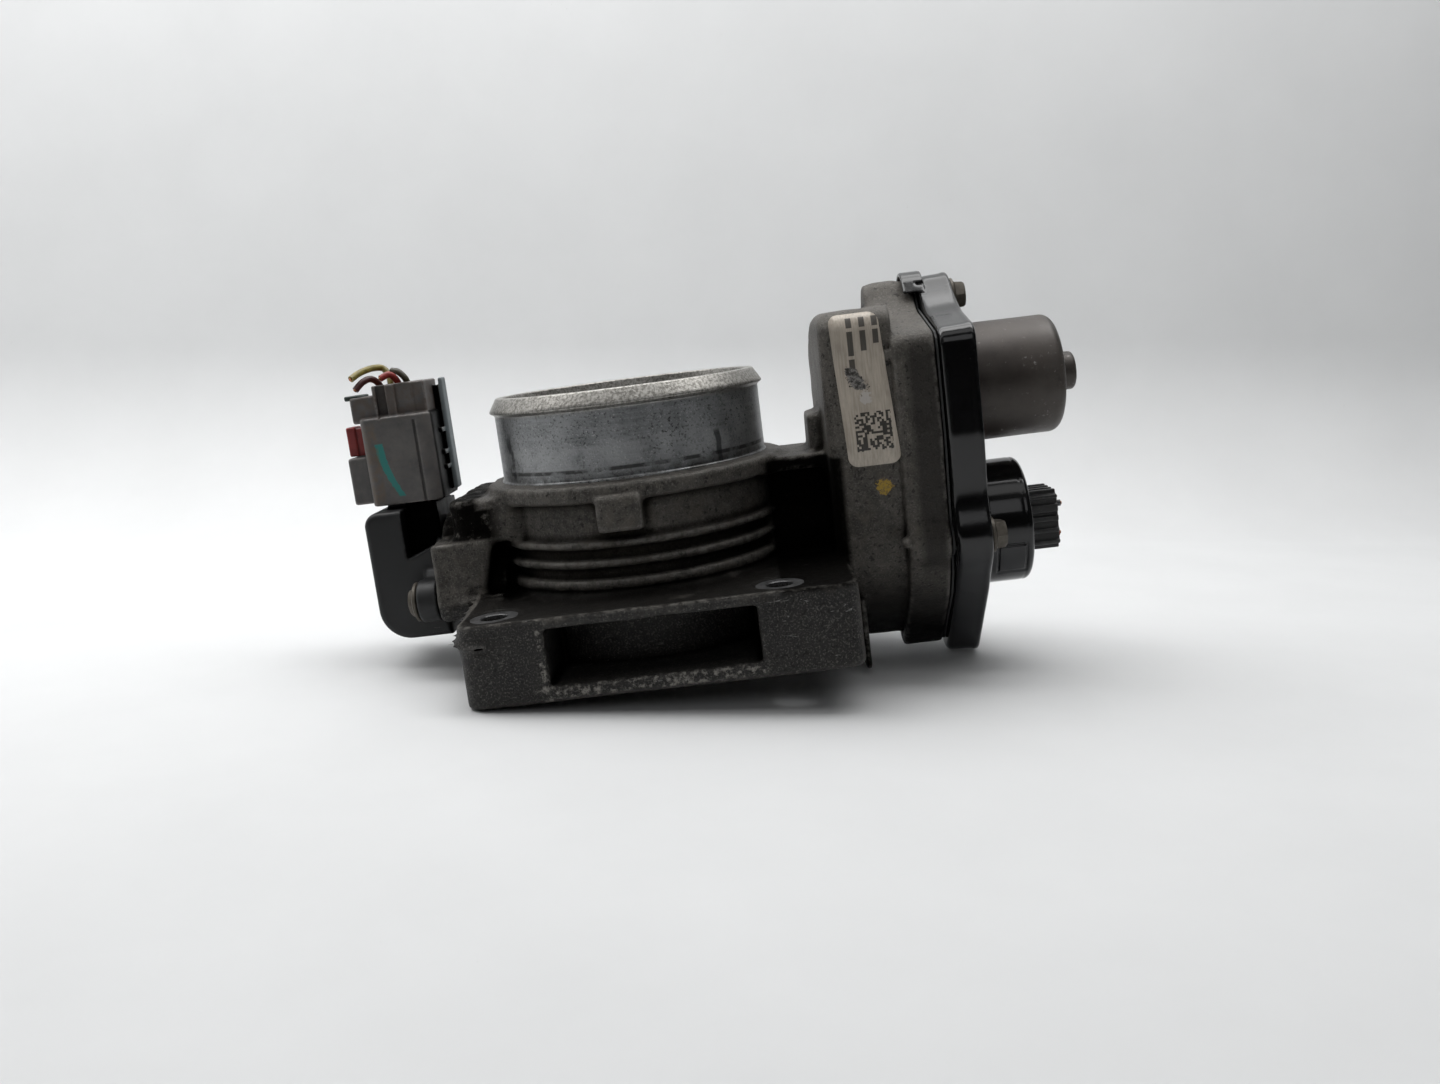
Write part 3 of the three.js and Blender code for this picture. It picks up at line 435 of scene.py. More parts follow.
# ------------------------------------------------------------------ materials
class Paint:
    """Builds one node material. Every length is in millimetres."""

    def __init__(self, name, metallic=0.0, roughness=0.5, **constants):
        self.material = bpy.data.materials.new(name)
        self.material.use_nodes = True
        self.nodes = self.material.node_tree.nodes
        self.links = self.material.node_tree.links
        self.shader = self.nodes["Principled BSDF"]
        self.shader.inputs["Metallic"].default_value = metallic
        self.shader.inputs["Roughness"].default_value = roughness
        for key, value in constants.items():
            self.shader.inputs[key.replace("_", " ")].default_value = value
        self.where = self.nodes.new("ShaderNodeTexCoord").outputs["Object"]

    def node(self, kind, inputs=(), **settings):
        node = self.nodes.new(kind)
        for key, value in settings.items():
            setattr(node, key, value)
        for key, value in dict(inputs).items():
            if hasattr(value, "is_linked") or isinstance(value, bpy.types.NodeSocket):
                self.links.new(value, node.inputs[key])
            else:
                node.inputs[key].default_value = value
        return node

    def math(self, operation, a, b=0.0, clamp=False):
        node = self.node("ShaderNodeMath", {0: a, 1: b}, operation=operation)
        node.use_clamp = clamp
        return node.outputs[0]

    def times(self, a, b):
        return self.math("MULTIPLY", a, b)

    def plus(self, a, b):
        return self.math("ADD", a, b)

    def axis(self, which, vector=None):
        split = self.node("ShaderNodeSeparateXYZ", {0: vector or self.where})
        return split.outputs["XYZ".index(which)]

    def design(self, which):
        """A coordinate of the design frame, in millimetres."""
        k = "XYZ".index(which)
        return self.times(self.math("SUBTRACT", self.axis(which), ORIGIN[k]), 1 / MM)

    def stretched(self, x=1.0, y=1.0, z=1.0):
        return self.node("ShaderNodeMapping", {"Vector": self.where, "Scale": (x, y, z)}).outputs[0]

    def noise(self, size, detail=3.0, rough=0.55, vector=None, distortion=0.0):
        node = self.node("ShaderNodeTexNoise", {
            "Vector": vector or self.where, "Scale": 1 / (size * MM), "Detail": detail,
            "Roughness": rough, "Distortion": distortion})
        return node.outputs[0]

    def ramp(self, value, low, high, to_low=0.0, to_high=1.0):
        node = self.node("ShaderNodeMapRange", {
            "Value": value, "From Min": low, "From Max": high, "To Min": to_low, "To Max": to_high})
        return node.outputs[0]

    def between(self, value, low, high, soft=0.2):
        return self.times(self.ramp(value, low - soft, low), self.ramp(value, high + soft, high))

    def attribute(self, name):
        return self.node("ShaderNodeAttribute", attribute_name=name).outputs["Fac"]

    def mix(self, amount, a, b):
        node = self.node("ShaderNodeMix", data_type="RGBA")
        for socket, value in ((node.inputs[0], amount), (node.inputs[6], a), (node.inputs[7], b)):
            if isinstance(value, bpy.types.NodeSocket):
                self.links.new(value, socket)
            else:
                socket.default_value = (*value, 1) if not isinstance(value, float) else value
        return node.outputs[2]

    def over(self, base, mask, strength, colour):
        """The base with a colour laid over it where the mask is, up to a strength."""
        return self.mix(self.times(mask, strength), base, colour)

    def mask(self, size, detail, rough, low, high):
        """Patches of noise, sharper where low and high are close."""
        return self.ramp(self.noise(size, detail, rough), low, high)

    def most(self, *masks):
        total = masks[-1]
        for mask in masks[-2::-1]:
            total = self.math("MAXIMUM", mask, total)
        return total

    def base(self):
        """The colour that the material has so far."""
        return self.shader.inputs["Base Color"].links[0].from_socket

    def colour(self, value):
        self.links.new(value, self.shader.inputs["Base Color"])

    def rough(self, value):
        self.links.new(value, self.shader.inputs["Roughness"])

    def metal(self, value):
        self.links.new(value, self.shader.inputs["Metallic"])

    def bump(self, value, height, strength=1.0):
        """height is the bump's depth in millimetres."""
        node = self.node("ShaderNodeBump", {
            "Height": value, "Strength": strength, "Distance": height * MM})
        if self.shader.inputs["Normal"].is_linked:
            self.links.new(self.shader.inputs["Normal"].links[0].from_socket, node.inputs["Normal"])
        self.links.new(node.outputs[0], self.shader.inputs["Normal"])


PAINT_DOT = (68.2, -33.4, 41.2)


def oil_and_shade_places(p, x, y, z):
    """Oily patches under the ring and beside the sensor, deepening the shade there, and painted shade behind
    its pad and round the web to the case.
    """
    under_ring = p.times(p.ramp(x, -36, -40), p.between(z, 39.5, 46.8, 0.8))
    arm = p.times(p.ramp(x, -41.5, -43.5), p.between(z, 40, 52, 0.8))
    # Painted shade behind the sensor's pad.
    shade_behind_pad = p.times(p.between(z, 22.4, 38, 1), p.ramp(y, -24.2, -22.8))
    shade_behind_pad = p.times(p.between(x, -46, -36, 1.2), shade_behind_pad)
    # Painted shade: the dark recess round the web to the case.
    web = p.times(p.between(x, 38, 56.8, 1.5), p.between(z, 21.5, 50, 1))
    oil_and_shade = p.times(p.most(under_ring, arm), p.mask(3.2, 5, 0.7, 0.30, 0.46))
    return p.most(oil_and_shade, shade_behind_pad, web)


def worn_places(p, x, y, z, flange):
    """The pocket's lower rail and left jamb, on the flange's front."""
    rail = p.times(p.between(z, 1.2, 4.6, 0.5), p.between(x, -26, 31, 2))
    jamb = p.between(x, POCKET["left"] - 1.6, POCKET["left"] + 0.4, 0.4)
    worn = p.times(p.most(rail, jamb), p.mask(1.6, 5, 0.7, 0.50, 0.64))
    return p.times(worn, p.times(flange, p.ramp(y, -54, -56)))


def dab_of_paint(p, x, y, z):
    """A ragged yellow dab on the case's front, below the label."""
    dx, dy, dz = (p.math("SUBTRACT", c, middle) for c, middle in zip((x, y, z), PAINT_DOT))
    flat = p.plus(p.times(dx, dx), p.times(dz, dz))
    away = p.math("SQRT", p.plus(flat, p.times(0.05, p.times(dy, dy))))
    ragged = p.plus(away, p.ramp(p.noise(1.2, 4, 0.7), 0.2, 0.8, -1.7, 1.7))
    return p.times(p.ramp(ragged, 2.3, 1.9), p.ramp(p.noise(0.7, 3, 0.6), 0.40, 0.52, 0.45, 1.0))


def cast_material():
    p = Paint("cast_aluminium", metallic=0.25, roughness=0.6, Specular_IOR_Level=0.3)
    blotch = p.noise(14, 4, 0.6)
    mottle = p.noise(2.4, 5, 0.65)
    grain = p.noise(0.5, 3, 0.6)
    x, y, z = p.design("X"), p.design("Y"), p.design("Z")
    base = p.mix(p.ramp(blotch, 0.35, 0.68), (0.030, 0.0272, 0.0240), (0.080, 0.0735, 0.0650))
    # Painted light: the gear case lighter towards the top.
    case = p.times(p.ramp(x, 54, 57), p.ramp(z, 10, 60))
    base = p.over(base, case, 0.55, (0.080, 0.073, 0.064))
    base = p.over(base, p.ramp(mottle, 0.42, 0.66), 0.65, (0.112, 0.103, 0.089))
    stain = p.times(p.mask(5.5, 5, 0.7, 0.50, 0.66), p.ramp(z, 74, 58))
    base = p.over(base, stain, 0.55, (0.014, 0.012, 0.010))
    flange = p.times(p.ramp(z, 22.3, 21.3), p.ramp(x, 58, 55.4))
    base = p.over(base, flange, 0.85, (0.0145, 0.0143, 0.0143))
    base = p.over(base, p.ramp(grain, 0.52, 0.70), 0.45, (0.21, 0.198, 0.18))
    pits = p.mask(1.1, 2, 0.5, 0.60, 0.68)
    base = p.over(base, pits, 0.75, (0.006, 0.0052, 0.0045))
    rusty = p.times(p.mask(6, 4, 0.6, 0.52, 0.7), p.between(z, 22, 47, 3))
    base = p.over(base, rusty, 0.6, (0.085, 0.074, 0.061))
    # Grime and painted shade: concave places darkened to near black.
    crevice_grime_and_shade = p.ramp(p.attribute("crevice_grime_and_shade"), 0.12, 0.66)
    base = p.over(base, crevice_grime_and_shade, 0.85, (0.006, 0.0048, 0.0038))
    # Near-black oil and painted shade, rougher too.
    oil_and_shade = oil_and_shade_places(p, x, y, z)
    base = p.over(base, oil_and_shade, 0.96, (0.0030, 0.0027, 0.0024))
    deck = p.times(p.between(z, 21.6, 24, 0.4), p.mask(9, 4, 0.6, 0.12, 0.40))
    deck = p.times(deck, p.between(x, -44.6, 56.6, 0.4))
    base = p.over(base, deck, 0.85, (0.0055, 0.0050, 0.0045))
    # Painted shade: the case darker towards its bottom, where it curves under.
    low_case_shade = p.times(p.ramp(z, 18, 6), p.ramp(x, 57.4, 58.6))
    base = p.over(base, low_case_shade, 0.8, (0.0075, 0.0068, 0.006))
    seam = p.times(p.ramp(x, 75.4, 78), p.between(z, 20, 74, 8))
    base = p.over(base, seam, 0.75, (0.012, 0.0102, 0.0088))
    # Painted shade: the case near black below the flange's face, under its foot.
    foot = p.times(p.ramp(z, 3, -5), p.ramp(x, 57.4, 58.6))
    base = p.over(base, foot, 0.85, (0.003, 0.0026, 0.0022))
    edge = p.times(p.ramp(p.attribute("wear"), 0.42, 0.95), p.mask(2.2, 4, 0.7, 0.42, 0.60))
    edge = p.times(edge, p.ramp(flange, 0, 1, 1.0, 0.35))
    base = p.over(base, edge, 0.6, (0.17, 0.162, 0.148))
    base = p.over(base, worn_places(p, x, y, z, flange), 0.85, (0.27, 0.255, 0.23))
    streaks = p.noise(0.9, 2, 0.5, p.stretched(0.16, 1, 1.0), 1.5)
    scratch = p.times(p.ramp(streaks, 0.685, 0.73), p.ramp(p.noise(9, 2), 0.45, 0.62))
    base = p.mix(p.times(scratch, p.times(flange, 0.9)), base, (0.24, 0.235, 0.23))
    paint = dab_of_paint(p, x, y, z)
    base = p.mix(paint, base, (0.36, 0.235, 0.035))
    p.colour(base)
    # Metallic rises where oil, grime and painted shade lie, which darkens them further.
    soaked_and_shaded = p.most(p.times(deck, 0.8), crevice_grime_and_shade, oil_and_shade, foot)
    p.metal(p.times(p.ramp(soaked_and_shaded, 0, 1, 0.25, 1.0), p.ramp(paint, 0, 1, 1.0, 0.0)))
    p.rough(p.plus(p.ramp(mottle, 0.2, 0.8, 0.46, 0.68), p.times(oil_and_shade, 0.22)))
    p.bump(p.noise(3.2, 4, 0.6), 0.45, 0.55)
    p.bump(grain, 0.22, 0.85)
    return p.material


def machined_material():
    p = Paint("machined_spigot", metallic=0.75, roughness=0.42, Specular_IOR_Level=0.3)
    x, z = p.design("X"), p.design("Z")
    turning = p.noise(0.5, 3, 0.6, p.stretched(0.02, 0.02, 1))
    cloud = p.noise(9, 5, 0.6)
    base = p.mix(p.ramp(cloud, 0.35, 0.7), (0.150, 0.156, 0.160), (0.29, 0.298, 0.303))
    base = p.over(base, p.ramp(turning, 0.4, 0.7), 0.35, (0.33, 0.335, 0.34))
    speck = p.mask(0.7, 3, 0.6, 0.54, 0.66)
    more = p.ramp(p.noise(12, 3), 0.35, 0.65, 0.35, 1.0)
    base = p.over(base, p.times(speck, more), 0.85, (0.018, 0.017, 0.016))
    glint = p.mask(0.45, 2, 0.5, 0.62, 0.70)
    base = p.over(base, glint, 0.5, (0.55, 0.55, 0.54))
    bead = p.ramp(z, 70.6, 71.8)
    base = p.over(base, bead, 0.75, (0.40, 0.385, 0.352))
    bead_speck = p.times(bead, p.mask(0.8, 5, 0.75, 0.44, 0.60))
    base = p.over(base, bead_speck, 0.75, (0.070, 0.064, 0.055))
    pale = p.times(p.between(z, 55.6, 61, 2), p.mask(5, 4, 0.6, 0.36, 0.56))
    base = p.over(base, pale, 0.4, (0.40, 0.405, 0.41))
    grime = p.times(p.ramp(z, 57, 52.6), p.mask(4, 5, 0.65, 0.38, 0.62))
    base = p.over(base, grime, 0.8, (0.030, 0.027, 0.022))
    groove = p.times(p.between(z, 55.2, 55.9, 0.3), p.ramp(p.noise(5, 3), 0.4, 0.55))
    base = p.over(base, groove, 0.8, (0.015, 0.014, 0.013))
    wiggle = p.ramp(p.noise(7, 2), 0.3, 0.7, -2.4, 2.4)
    stain = p.between(p.plus(x, wiggle), -31.2, -29.6, 0.6)
    stain = p.times(stain, p.times(p.between(z, 55, 65, 2), p.ramp(p.noise(2, 3), 0.3, 0.5)))
    mark = p.between(p.plus(x, p.times(wiggle, 0.3)), 25.2, 26.3, 0.4)
    mark = p.times(mark, p.between(z, 54, 61, 1.2))
    base = p.over(base, p.most(stain, mark), 0.75, (0.018, 0.019, 0.021))
    p.colour(base)
    p.rough(p.ramp(cloud, 0.3, 0.7, 0.30, 0.48))
    p.bump(turning, 0.03, 0.5)
    p.bump(p.noise(0.7, 3, 0.6), 0.14, 0.6)
    return p.material


def spotface_material():
    p = Paint("machined_spotface", metallic=0.6, roughness=0.4)
    cloud = p.noise(2.5, 5, 0.65)
    base = p.mix(p.ramp(cloud, 0.35, 0.65), (0.055, 0.055, 0.056), (0.14, 0.14, 0.142))
    base = p.mix(p.ramp(p.noise(0.8, 3), 0.6, 0.7), base, (0.02, 0.018, 0.015))
    p.colour(base)
    p.bump(p.noise(0.6, 3), 0.06, 0.5)
    return p.material


def gloss_black():
    p = Paint("gloss_black_plastic", roughness=0.16, Specular_IOR_Level=0.5)
    dust = p.times(p.mask(0.8, 5, 0.75, 0.60, 0.74), p.ramp(p.noise(16, 3), 0.42, 0.62))
    haze = p.mask(11, 4, 0.6, 0.3, 0.75)
    base = p.mix(p.times(haze, 0.5), (0.0035, 0.0035, 0.0037), (0.007, 0.007, 0.0075))
    base = p.over(base, dust, 0.22, (0.05, 0.047, 0.043))
    rub = p.times(p.ramp(p.attribute("wear"), 0.45, 0.9), p.mask(1.5, 4, 0.7, 0.45, 0.6))
    base = p.over(base, rub, 0.3, (0.06, 0.06, 0.06))
    # Painted reflection: the cover's lower part lighter and bluish, as if it reflected the floor.
    low = p.ramp(p.design("Z"), 24, 18)
    base = p.over(base, low, 0.8, (0.0135, 0.0135, 0.0155))
    p.colour(base)
    p.rough(p.plus(p.ramp(haze, 0, 1, 0.09, 0.17), p.times(dust, 0.3)))
    p.bump(p.noise(5, 3, 0.5), 0.06, 0.35)
    p.bump(p.noise(0.5, 3), 0.012, 0.5)
    return p.material


def matte_plastic(name, dark, light, rough=0.55, dust=0.35, dust_colour=(0.16, 0.14, 0.12)):
    p = Paint(name, roughness=rough)
    cloud = p.noise(8, 5, 0.65)
    base = p.mix(p.ramp(cloud, 0.32, 0.7), dark, light)
    film = p.times(p.mask(1.3, 5, 0.75, 0.52, 0.74), p.ramp(p.noise(10, 3), 0.36, 0.66))
    base = p.mix(p.times(film, dust), base, dust_colour)
    # Grime and painted shade: concave places darkened.
    crevice_grime_and_shade = p.ramp(p.attribute("crevice_grime_and_shade"), 0.05, 0.5)
    base = p.over(base, crevice_grime_and_shade, 0.6, tuple(c * 0.35 for c in dark))
    worn = p.times(p.ramp(p.attribute("wear"), 0.35, 0.9), p.mask(1.8, 4, 0.7, 0.4, 0.6))
    base = p.over(base, worn, 0.45, tuple(min(1, c * 2.6 + 0.03) for c in light))
    p.colour(base)
    p.rough(p.ramp(cloud, 0.3, 0.7, rough - 0.08, rough + 0.12))
    p.bump(p.noise(0.35, 2, 0.5), 0.03, 0.6)
    p.bump(p.noise(4, 3), 0.1, 0.3)
    return p


def plug_material():
    dark, light, dust_colour = (0.062, 0.060, 0.060), (0.122, 0.113, 0.106), (0.140, 0.105, 0.076)
    p = matte_plastic("grey_plug_plastic", dark, light, 0.5, 0.55, dust_colour)
    base = p.base()
    x, y, z = p.design("X"), p.design("Y"), p.design("Z")
    along = p.ramp(z, 67.4, 52.4)
    bend = p.plus(p.times(0.55, along), p.times(3.95, p.times(along, along)))
    off = p.math("ABSOLUTE", p.math("SUBTRACT", p.plus(x, 70.8), bend))
    ragged = p.plus(off, p.ramp(p.noise(0.9, 4, 0.7), 0.2, 0.8, -0.35, 0.35))
    width = p.ramp(p.math("SUBTRACT", ragged, p.times(along, -0.3)), 1.3, 1.05)
    stroke = p.times(width, p.times(p.between(z, 52.4, 67.4, 0.4), p.ramp(y, -9.0, -9.4)))
    base = p.over(base, stroke, 0.9, (0.012, 0.185, 0.165))
    patchy = p.times(p.between(z, 51, 72, 2), p.mask(2.4, 4, 0.6, 0.36, 0.58))
    brown = p.times(p.between(x, -74.6, -71.6, 0.8), patchy)
    base = p.over(base, brown, 0.6, (0.115, 0.080, 0.052))
    dusky = p.times(p.ramp(z, 73.4, 75.6), p.mask(2.0, 4, 0.6, 0.36, 0.6))
    base = p.over(base, dusky, 0.5, (0.060, 0.036, 0.022))
    # Painted highlight: a thin light blue edge on the rail's right side.
    pale = p.ramp(x, -54.5, -54.1)
    base = p.over(base, pale, 0.7, (0.16, 0.20, 0.215))
    # Painted shade: the slot's recess darkened to dark brown.
    slot_shade = p.times(p.ramp(y, -7.4, -7.1), p.ramp(z, 75.4, 75.9))
    slot_shade = p.times(p.between(x, -70.0, -67.3, 0.15), slot_shade)
    base = p.over(base, slot_shade, 0.8, (0.012, 0.0075, 0.005))
    # Painted shade: near black, made metallic, in the gap between the plug's body and its rail.
    gap = p.times(p.between(x, -56.0, -54.5, 0.2), p.ramp(y, -7.6, -7.0))
    base = p.over(base, gap, 0.97, (0.0008, 0.0008, 0.0008))
    p.metal(gap)
    p.colour(base)
    return p.material


def sensor_material():
    dark, light, dust_colour = (0.0050, 0.0051, 0.0055), (0.0100, 0.0102, 0.0108), (0.024, 0.022, 0.020)
    p = matte_plastic("black_sensor_plastic", dark, light, 0.46, 0.2, dust_colour)
    p.shader.inputs["Specular IOR Level"].default_value = 0.4
    base = p.base()
    x, y, z = p.design("X"), p.design("Y"), p.design("Z")
    slope = p.plus(p.times(p.plus(x, 66.8), 0.38), 34.4)
    above = p.ramp(p.math("SUBTRACT", z, slope), -0.2, 0.2)
    shaded = p.most(p.ramp(y, -5.8, -6.2), p.ramp(x, -62.4, -61.8))
    shaded = p.times(p.times(above, p.ramp(x, -67.1, -66.7)), shaded)
    base = p.over(base, shaded, 0.98, (0.0006, 0.0006, 0.0006))
    p.colour(base)
    p.metal(shaded)
    return p.material


def steel_material(name, dark, light, rough=0.4, metallic=0.8, size=5.0):
    p = Paint(name, metallic=metallic, roughness=rough)
    cloud = p.noise(size, 5, 0.65)
    base = p.mix(p.ramp(cloud, 0.34, 0.68), dark, light)
    stain = p.ramp(p.noise(size * 0.25, 4, 0.7), 0.58, 0.72)
    base = p.over(base, stain, 0.5, tuple(c * 0.45 for c in dark))
    p.colour(base)
    p.rough(p.ramp(cloud, 0.3, 0.7, rough - 0.07, rough + 0.12))
    p.bump(p.noise(0.5, 3, 0.6), 0.03, 0.5)
    return p


def motor_material():
    dark, light = (0.034, 0.0275, 0.0235), (0.062, 0.052, 0.045)
    p = steel_material("motor_can_steel", dark, light, 0.46, 0.35, 12.0)
    base = p.base()
    x = p.design("X")
    band = p.times(p.ramp(x, 112, 118), p.ramp(p.noise(5, 4), 0.35, 0.6))
    base = p.over(base, band, 0.4, (0.085, 0.077, 0.07))
    spots = p.mask(2.2, 3, 0.6, 0.66, 0.72)
    base = p.over(base, spots, 0.5, (0.17, 0.16, 0.155))
    drips = p.ramp(p.noise(3.2, 3, 0.6, p.stretched(0.35, 1, 1)), 0.56, 0.66)
    drips = p.times(drips, p.ramp(x, 106, 97))
    base = p.over(base, drips, 0.4, (0.018, 0.014, 0.012))
    scuff = p.times(p.mask(1.4, 4, 0.7, 0.60, 0.68), p.ramp(p.noise(6, 2), 0.56, 0.62))
    base = p.over(base, scuff, 0.7, (0.30, 0.29, 0.28))
    p.colour(base)
    return p.material


LABEL_BARS = ((69.6, 79.2), (66.3, 77.6), (62.9, 72.0))  # middle in x and foot in z
BAR_HALF, BAR_TOP = 0.7, 86.2


def ragged_spot(p, dx, dz, squash, noise, reach, low, high):
    """A mask round dx = dz = 0 with an uneven edge, squashed along z."""
    away = p.math("SQRT", p.plus(p.times(dx, dx), p.times(squash, p.times(dz, dz))))
    return p.ramp(p.plus(away, p.ramp(p.noise(noise, 4, 0.7), 0.25, 0.75, -reach, reach)), low, high)


def label_material():
    p = Paint("blank_label_film", roughness=0.42, metallic=0.0)
    x, z = p.design("X"), p.design("Z")
    satin = p.noise(0.5, 3, 0.6, p.stretched(1, 1, 0.05))
    base = p.mix(p.ramp(satin, 0.35, 0.65), (0.37, 0.325, 0.268), (0.50, 0.445, 0.375))
    base = p.over(base, p.mask(5, 4, 0.6, 0.4, 0.7), 0.3, (0.19, 0.16, 0.13))
    ink = (0.010, 0.0095, 0.009)
    dashes = random_squares(p, 0.0, z, 0.9)
    for middle, foot in LABEL_BARS:
        bar = p.between(x, middle - BAR_HALF, middle + BAR_HALF, 0.1)
        bar = p.times(bar, p.between(z, foot, BAR_TOP, 0.1))
        printed = p.math("GREATER_THAN", dashes, 0.3)
        base = p.mix(p.times(bar, p.times(printed, 0.85)), base, ink)
    block = p.times(p.between(x, 61.9, 71.5, 0.02), p.between(z, 51.4, 61.6, 0.02))
    tile = p.math("GREATER_THAN", random_squares(p, x, z, 0.6), 0.5)
    base = p.mix(p.times(block, p.times(tile, 0.93)), base, ink)
    dz = p.math("SUBTRACT", z, 70.2)
    dx = p.plus(p.math("SUBTRACT", x, 63.2), p.times(dz, 0.5))
    torn = ragged_spot(p, dx, dz, 0.4, 2, 1.3, 2.2, 1.9)
    patch = p.mix(p.mask(1.0, 4, 0.7, 0.42, 0.58), (0.03, 0.027, 0.024), (0.22, 0.21, 0.20))
    base = p.mix(torn, base, patch)
    # Painted highlight: a whitish spot on the film.
    fx, fz = p.math("SUBTRACT", x, 65.4), p.math("SUBTRACT", z, 65.4)
    highlight_spot = ragged_spot(p, fx, fz, 1.0, 1.6, 1.4, 1.7, 1.4)
    base = p.over(base, highlight_spot, 0.7, (0.52, 0.50, 0.48))
    p.colour(base)
    p.bump(p.noise(1.4, 3), 0.05, 0.4)
    return p.material


def random_squares(p, x, z, size):
    """A random value from 0 to 1 for each square of a grid on the label's own plane."""
    plane = p.node("ShaderNodeCombineXYZ", {0: x, 1: z, 2: 0.0}).outputs[0]
    snapped = p.node("ShaderNodeVectorMath", {0: plane, 1: (size, size, size)}, operation="SNAP")
    random = p.node("ShaderNodeTexWhiteNoise", {"Vector": snapped.outputs[0]}, noise_dimensions="3D")
    return random.outputs["Value"]


def simple_material(name, colour, metallic=0.0, rough=0.45, size=4.0, spread=0.25):
    """A worn solid colour with soft blotches and fine grain."""
    p = Paint(name, metallic=metallic, roughness=rough)
    cloud = p.noise(size, 5, 0.65)
    dark = tuple(c * (1 - spread) for c in colour)
    light = tuple(min(1.0, c * (1 + spread)) for c in colour)
    base = p.mix(p.ramp(cloud, 0.35, 0.68), dark, light)
    stain = p.ramp(p.noise(size * 0.3, 4, 0.7), 0.55, 0.7)
    base = p.over(base, stain, 0.35, tuple(c * 0.4 for c in colour))
    p.colour(base)
    p.rough(p.ramp(cloud, 0.3, 0.7, rough - 0.08, rough + 0.1))
    p.bump(p.noise(size * 0.12, 3, 0.6), 0.03, 0.5)
    return p.material


def floor_material():
    p = Paint("pale_floor", roughness=0.75)
    cloud = p.noise(60, 4, 0.6)
    base = p.mix(p.ramp(cloud, 0.30, 0.75), (0.630, 0.637, 0.640), (0.665, 0.672, 0.675))
    marks = p.times(p.mask(3, 4, 0.7, 0.70, 0.76), p.ramp(p.noise(45, 3), 0.5, 0.66))
    base = p.over(base, marks, 0.45, (0.42, 0.41, 0.40))
    # Painted shade: the floor darker towards its near edge, down to near black.
    near_edge_shade = p.ramp(p.design("Y"), -250, -430)
    base = p.over(base, near_edge_shade, 0.95, (0.03, 0.03, 0.03))
    p.colour(base)
    return p.material


# Name, dark and light colour, roughness, dust and, for one, the dust's colour.
PLASTICS = {
    "motor_plug": ("black_plug_plastic", (0.006, 0.006, 0.006), (0.012, 0.012, 0.012), 0.42, 0.2),
    "latch": ("grey_latch_plastic", (0.034, 0.034, 0.035), (0.062, 0.060, 0.058), 0.5, 0.4),
    "lock": ("red_lock_plastic", (0.15, 0.016, 0.016), (0.26, 0.035, 0.030), 0.45, 0.35,
             (0.08, 0.035, 0.028)),
    "green": ("green_lock_plastic", (0.012, 0.020, 0.016), (0.022, 0.036, 0.030), 0.5, 0.4),
}
# Name, dark and light colour, roughness, metallic and blotch size.
STEELS = {
    "screw": ("screw_steel", (0.055, 0.047, 0.037), (0.115, 0.103, 0.085), 0.46, 0.5, 2.5),
    "steel": ("bright_steel", (0.34, 0.34, 0.345), (0.5, 0.5, 0.505), 0.3, 0.95, 4.0),
}
# Name, colour, metallic, roughness and, for the wires, blotch size and spread.
SOLIDS = {
    "brass": ("plate_brass", (0.42, 0.30, 0.12), 0.9, 0.35),
    "copper": ("winding_copper", (0.40, 0.17, 0.08), 0.9, 0.4),
    "nylon": ("natural_nylon", (0.62, 0.58, 0.48), 0.0, 0.45),
    "rubber": ("seal_rubber", (0.018, 0.018, 0.018), 0.0, 0.7),
    "silicone": ("seal_silicone", (0.32, 0.09, 0.04), 0.0, 0.6),
    "wire_dark_red": ("wire_dark_red", (0.045, 0.008, 0.007), 0.0, 0.4, 2.0, 0.35),
    "wire_yellow": ("wire_yellow", (0.19, 0.155, 0.03), 0.0, 0.4, 2.0, 0.35),
    "wire_red": ("wire_red", (0.22, 0.022, 0.018), 0.0, 0.4, 2.0, 0.3),
    "wire_olive": ("wire_olive", (0.035, 0.03, 0.014), 0.0, 0.4, 2.0, 0.35),
    "wire_grey": ("wire_grey", (0.06, 0.06, 0.065), 0.0, 0.4, 2.0, 0.3),
}
MAT = {
    "cast": cast_material(),
    "machined": machined_material(),
    "spotface": spotface_material(),
    "gloss": gloss_black(),
    "sensor": sensor_material(),
    "plug": plug_material(),
    "motor": motor_material(),
    "label": label_material(),
    "floor": floor_material(),
}
MAT.update({key: matte_plastic(*row).material for key, row in PLASTICS.items()})
MAT.update({key: steel_material(*row).material for key, row in STEELS.items()})
MAT.update({key: simple_material(*row) for key, row in SOLIDS.items()})


# ------------------------------------------------------------------ camera, floor and light
def to_world(x, y, z):
    return Vector((x, y, z)) * MM + ORIGIN


CAMERA = dict(eye=(34.7, -348.2, 86.4), pitch=9.78, roll=7.15, turn=-2.14, lens=29.96)


def make_camera():
    """The photograph's viewpoint, in the design frame."""
    eye = to_world(*CAMERA["eye"])
    pitch, roll, turn = (math.radians(CAMERA[k]) for k in ("pitch", "roll", "turn"))
    level = math.cos(pitch)
    ahead = Vector((math.sin(turn) * level, math.cos(turn) * level, -math.sin(pitch)))
    right = Vector((math.cos(turn), -math.sin(turn), 0))
    up = right.cross(ahead)
    side = right * math.cos(roll) - up * math.sin(roll)
    top = right * math.sin(roll) + up * math.cos(roll)
    data = bpy.data.cameras.new("camera")
    data.sensor_width = 36.0
    data.lens = CAMERA["lens"]
    data.clip_start = 0.01
    camera = bpy.data.objects.new("camera", data)
    bpy.context.scene.collection.objects.link(camera)
    rotation = Matrix((side, top, -ahead)).transposed().to_4x4()
    camera.matrix_world = Matrix.Translation(eye) @ rotation
    bpy.context.scene.camera = camera


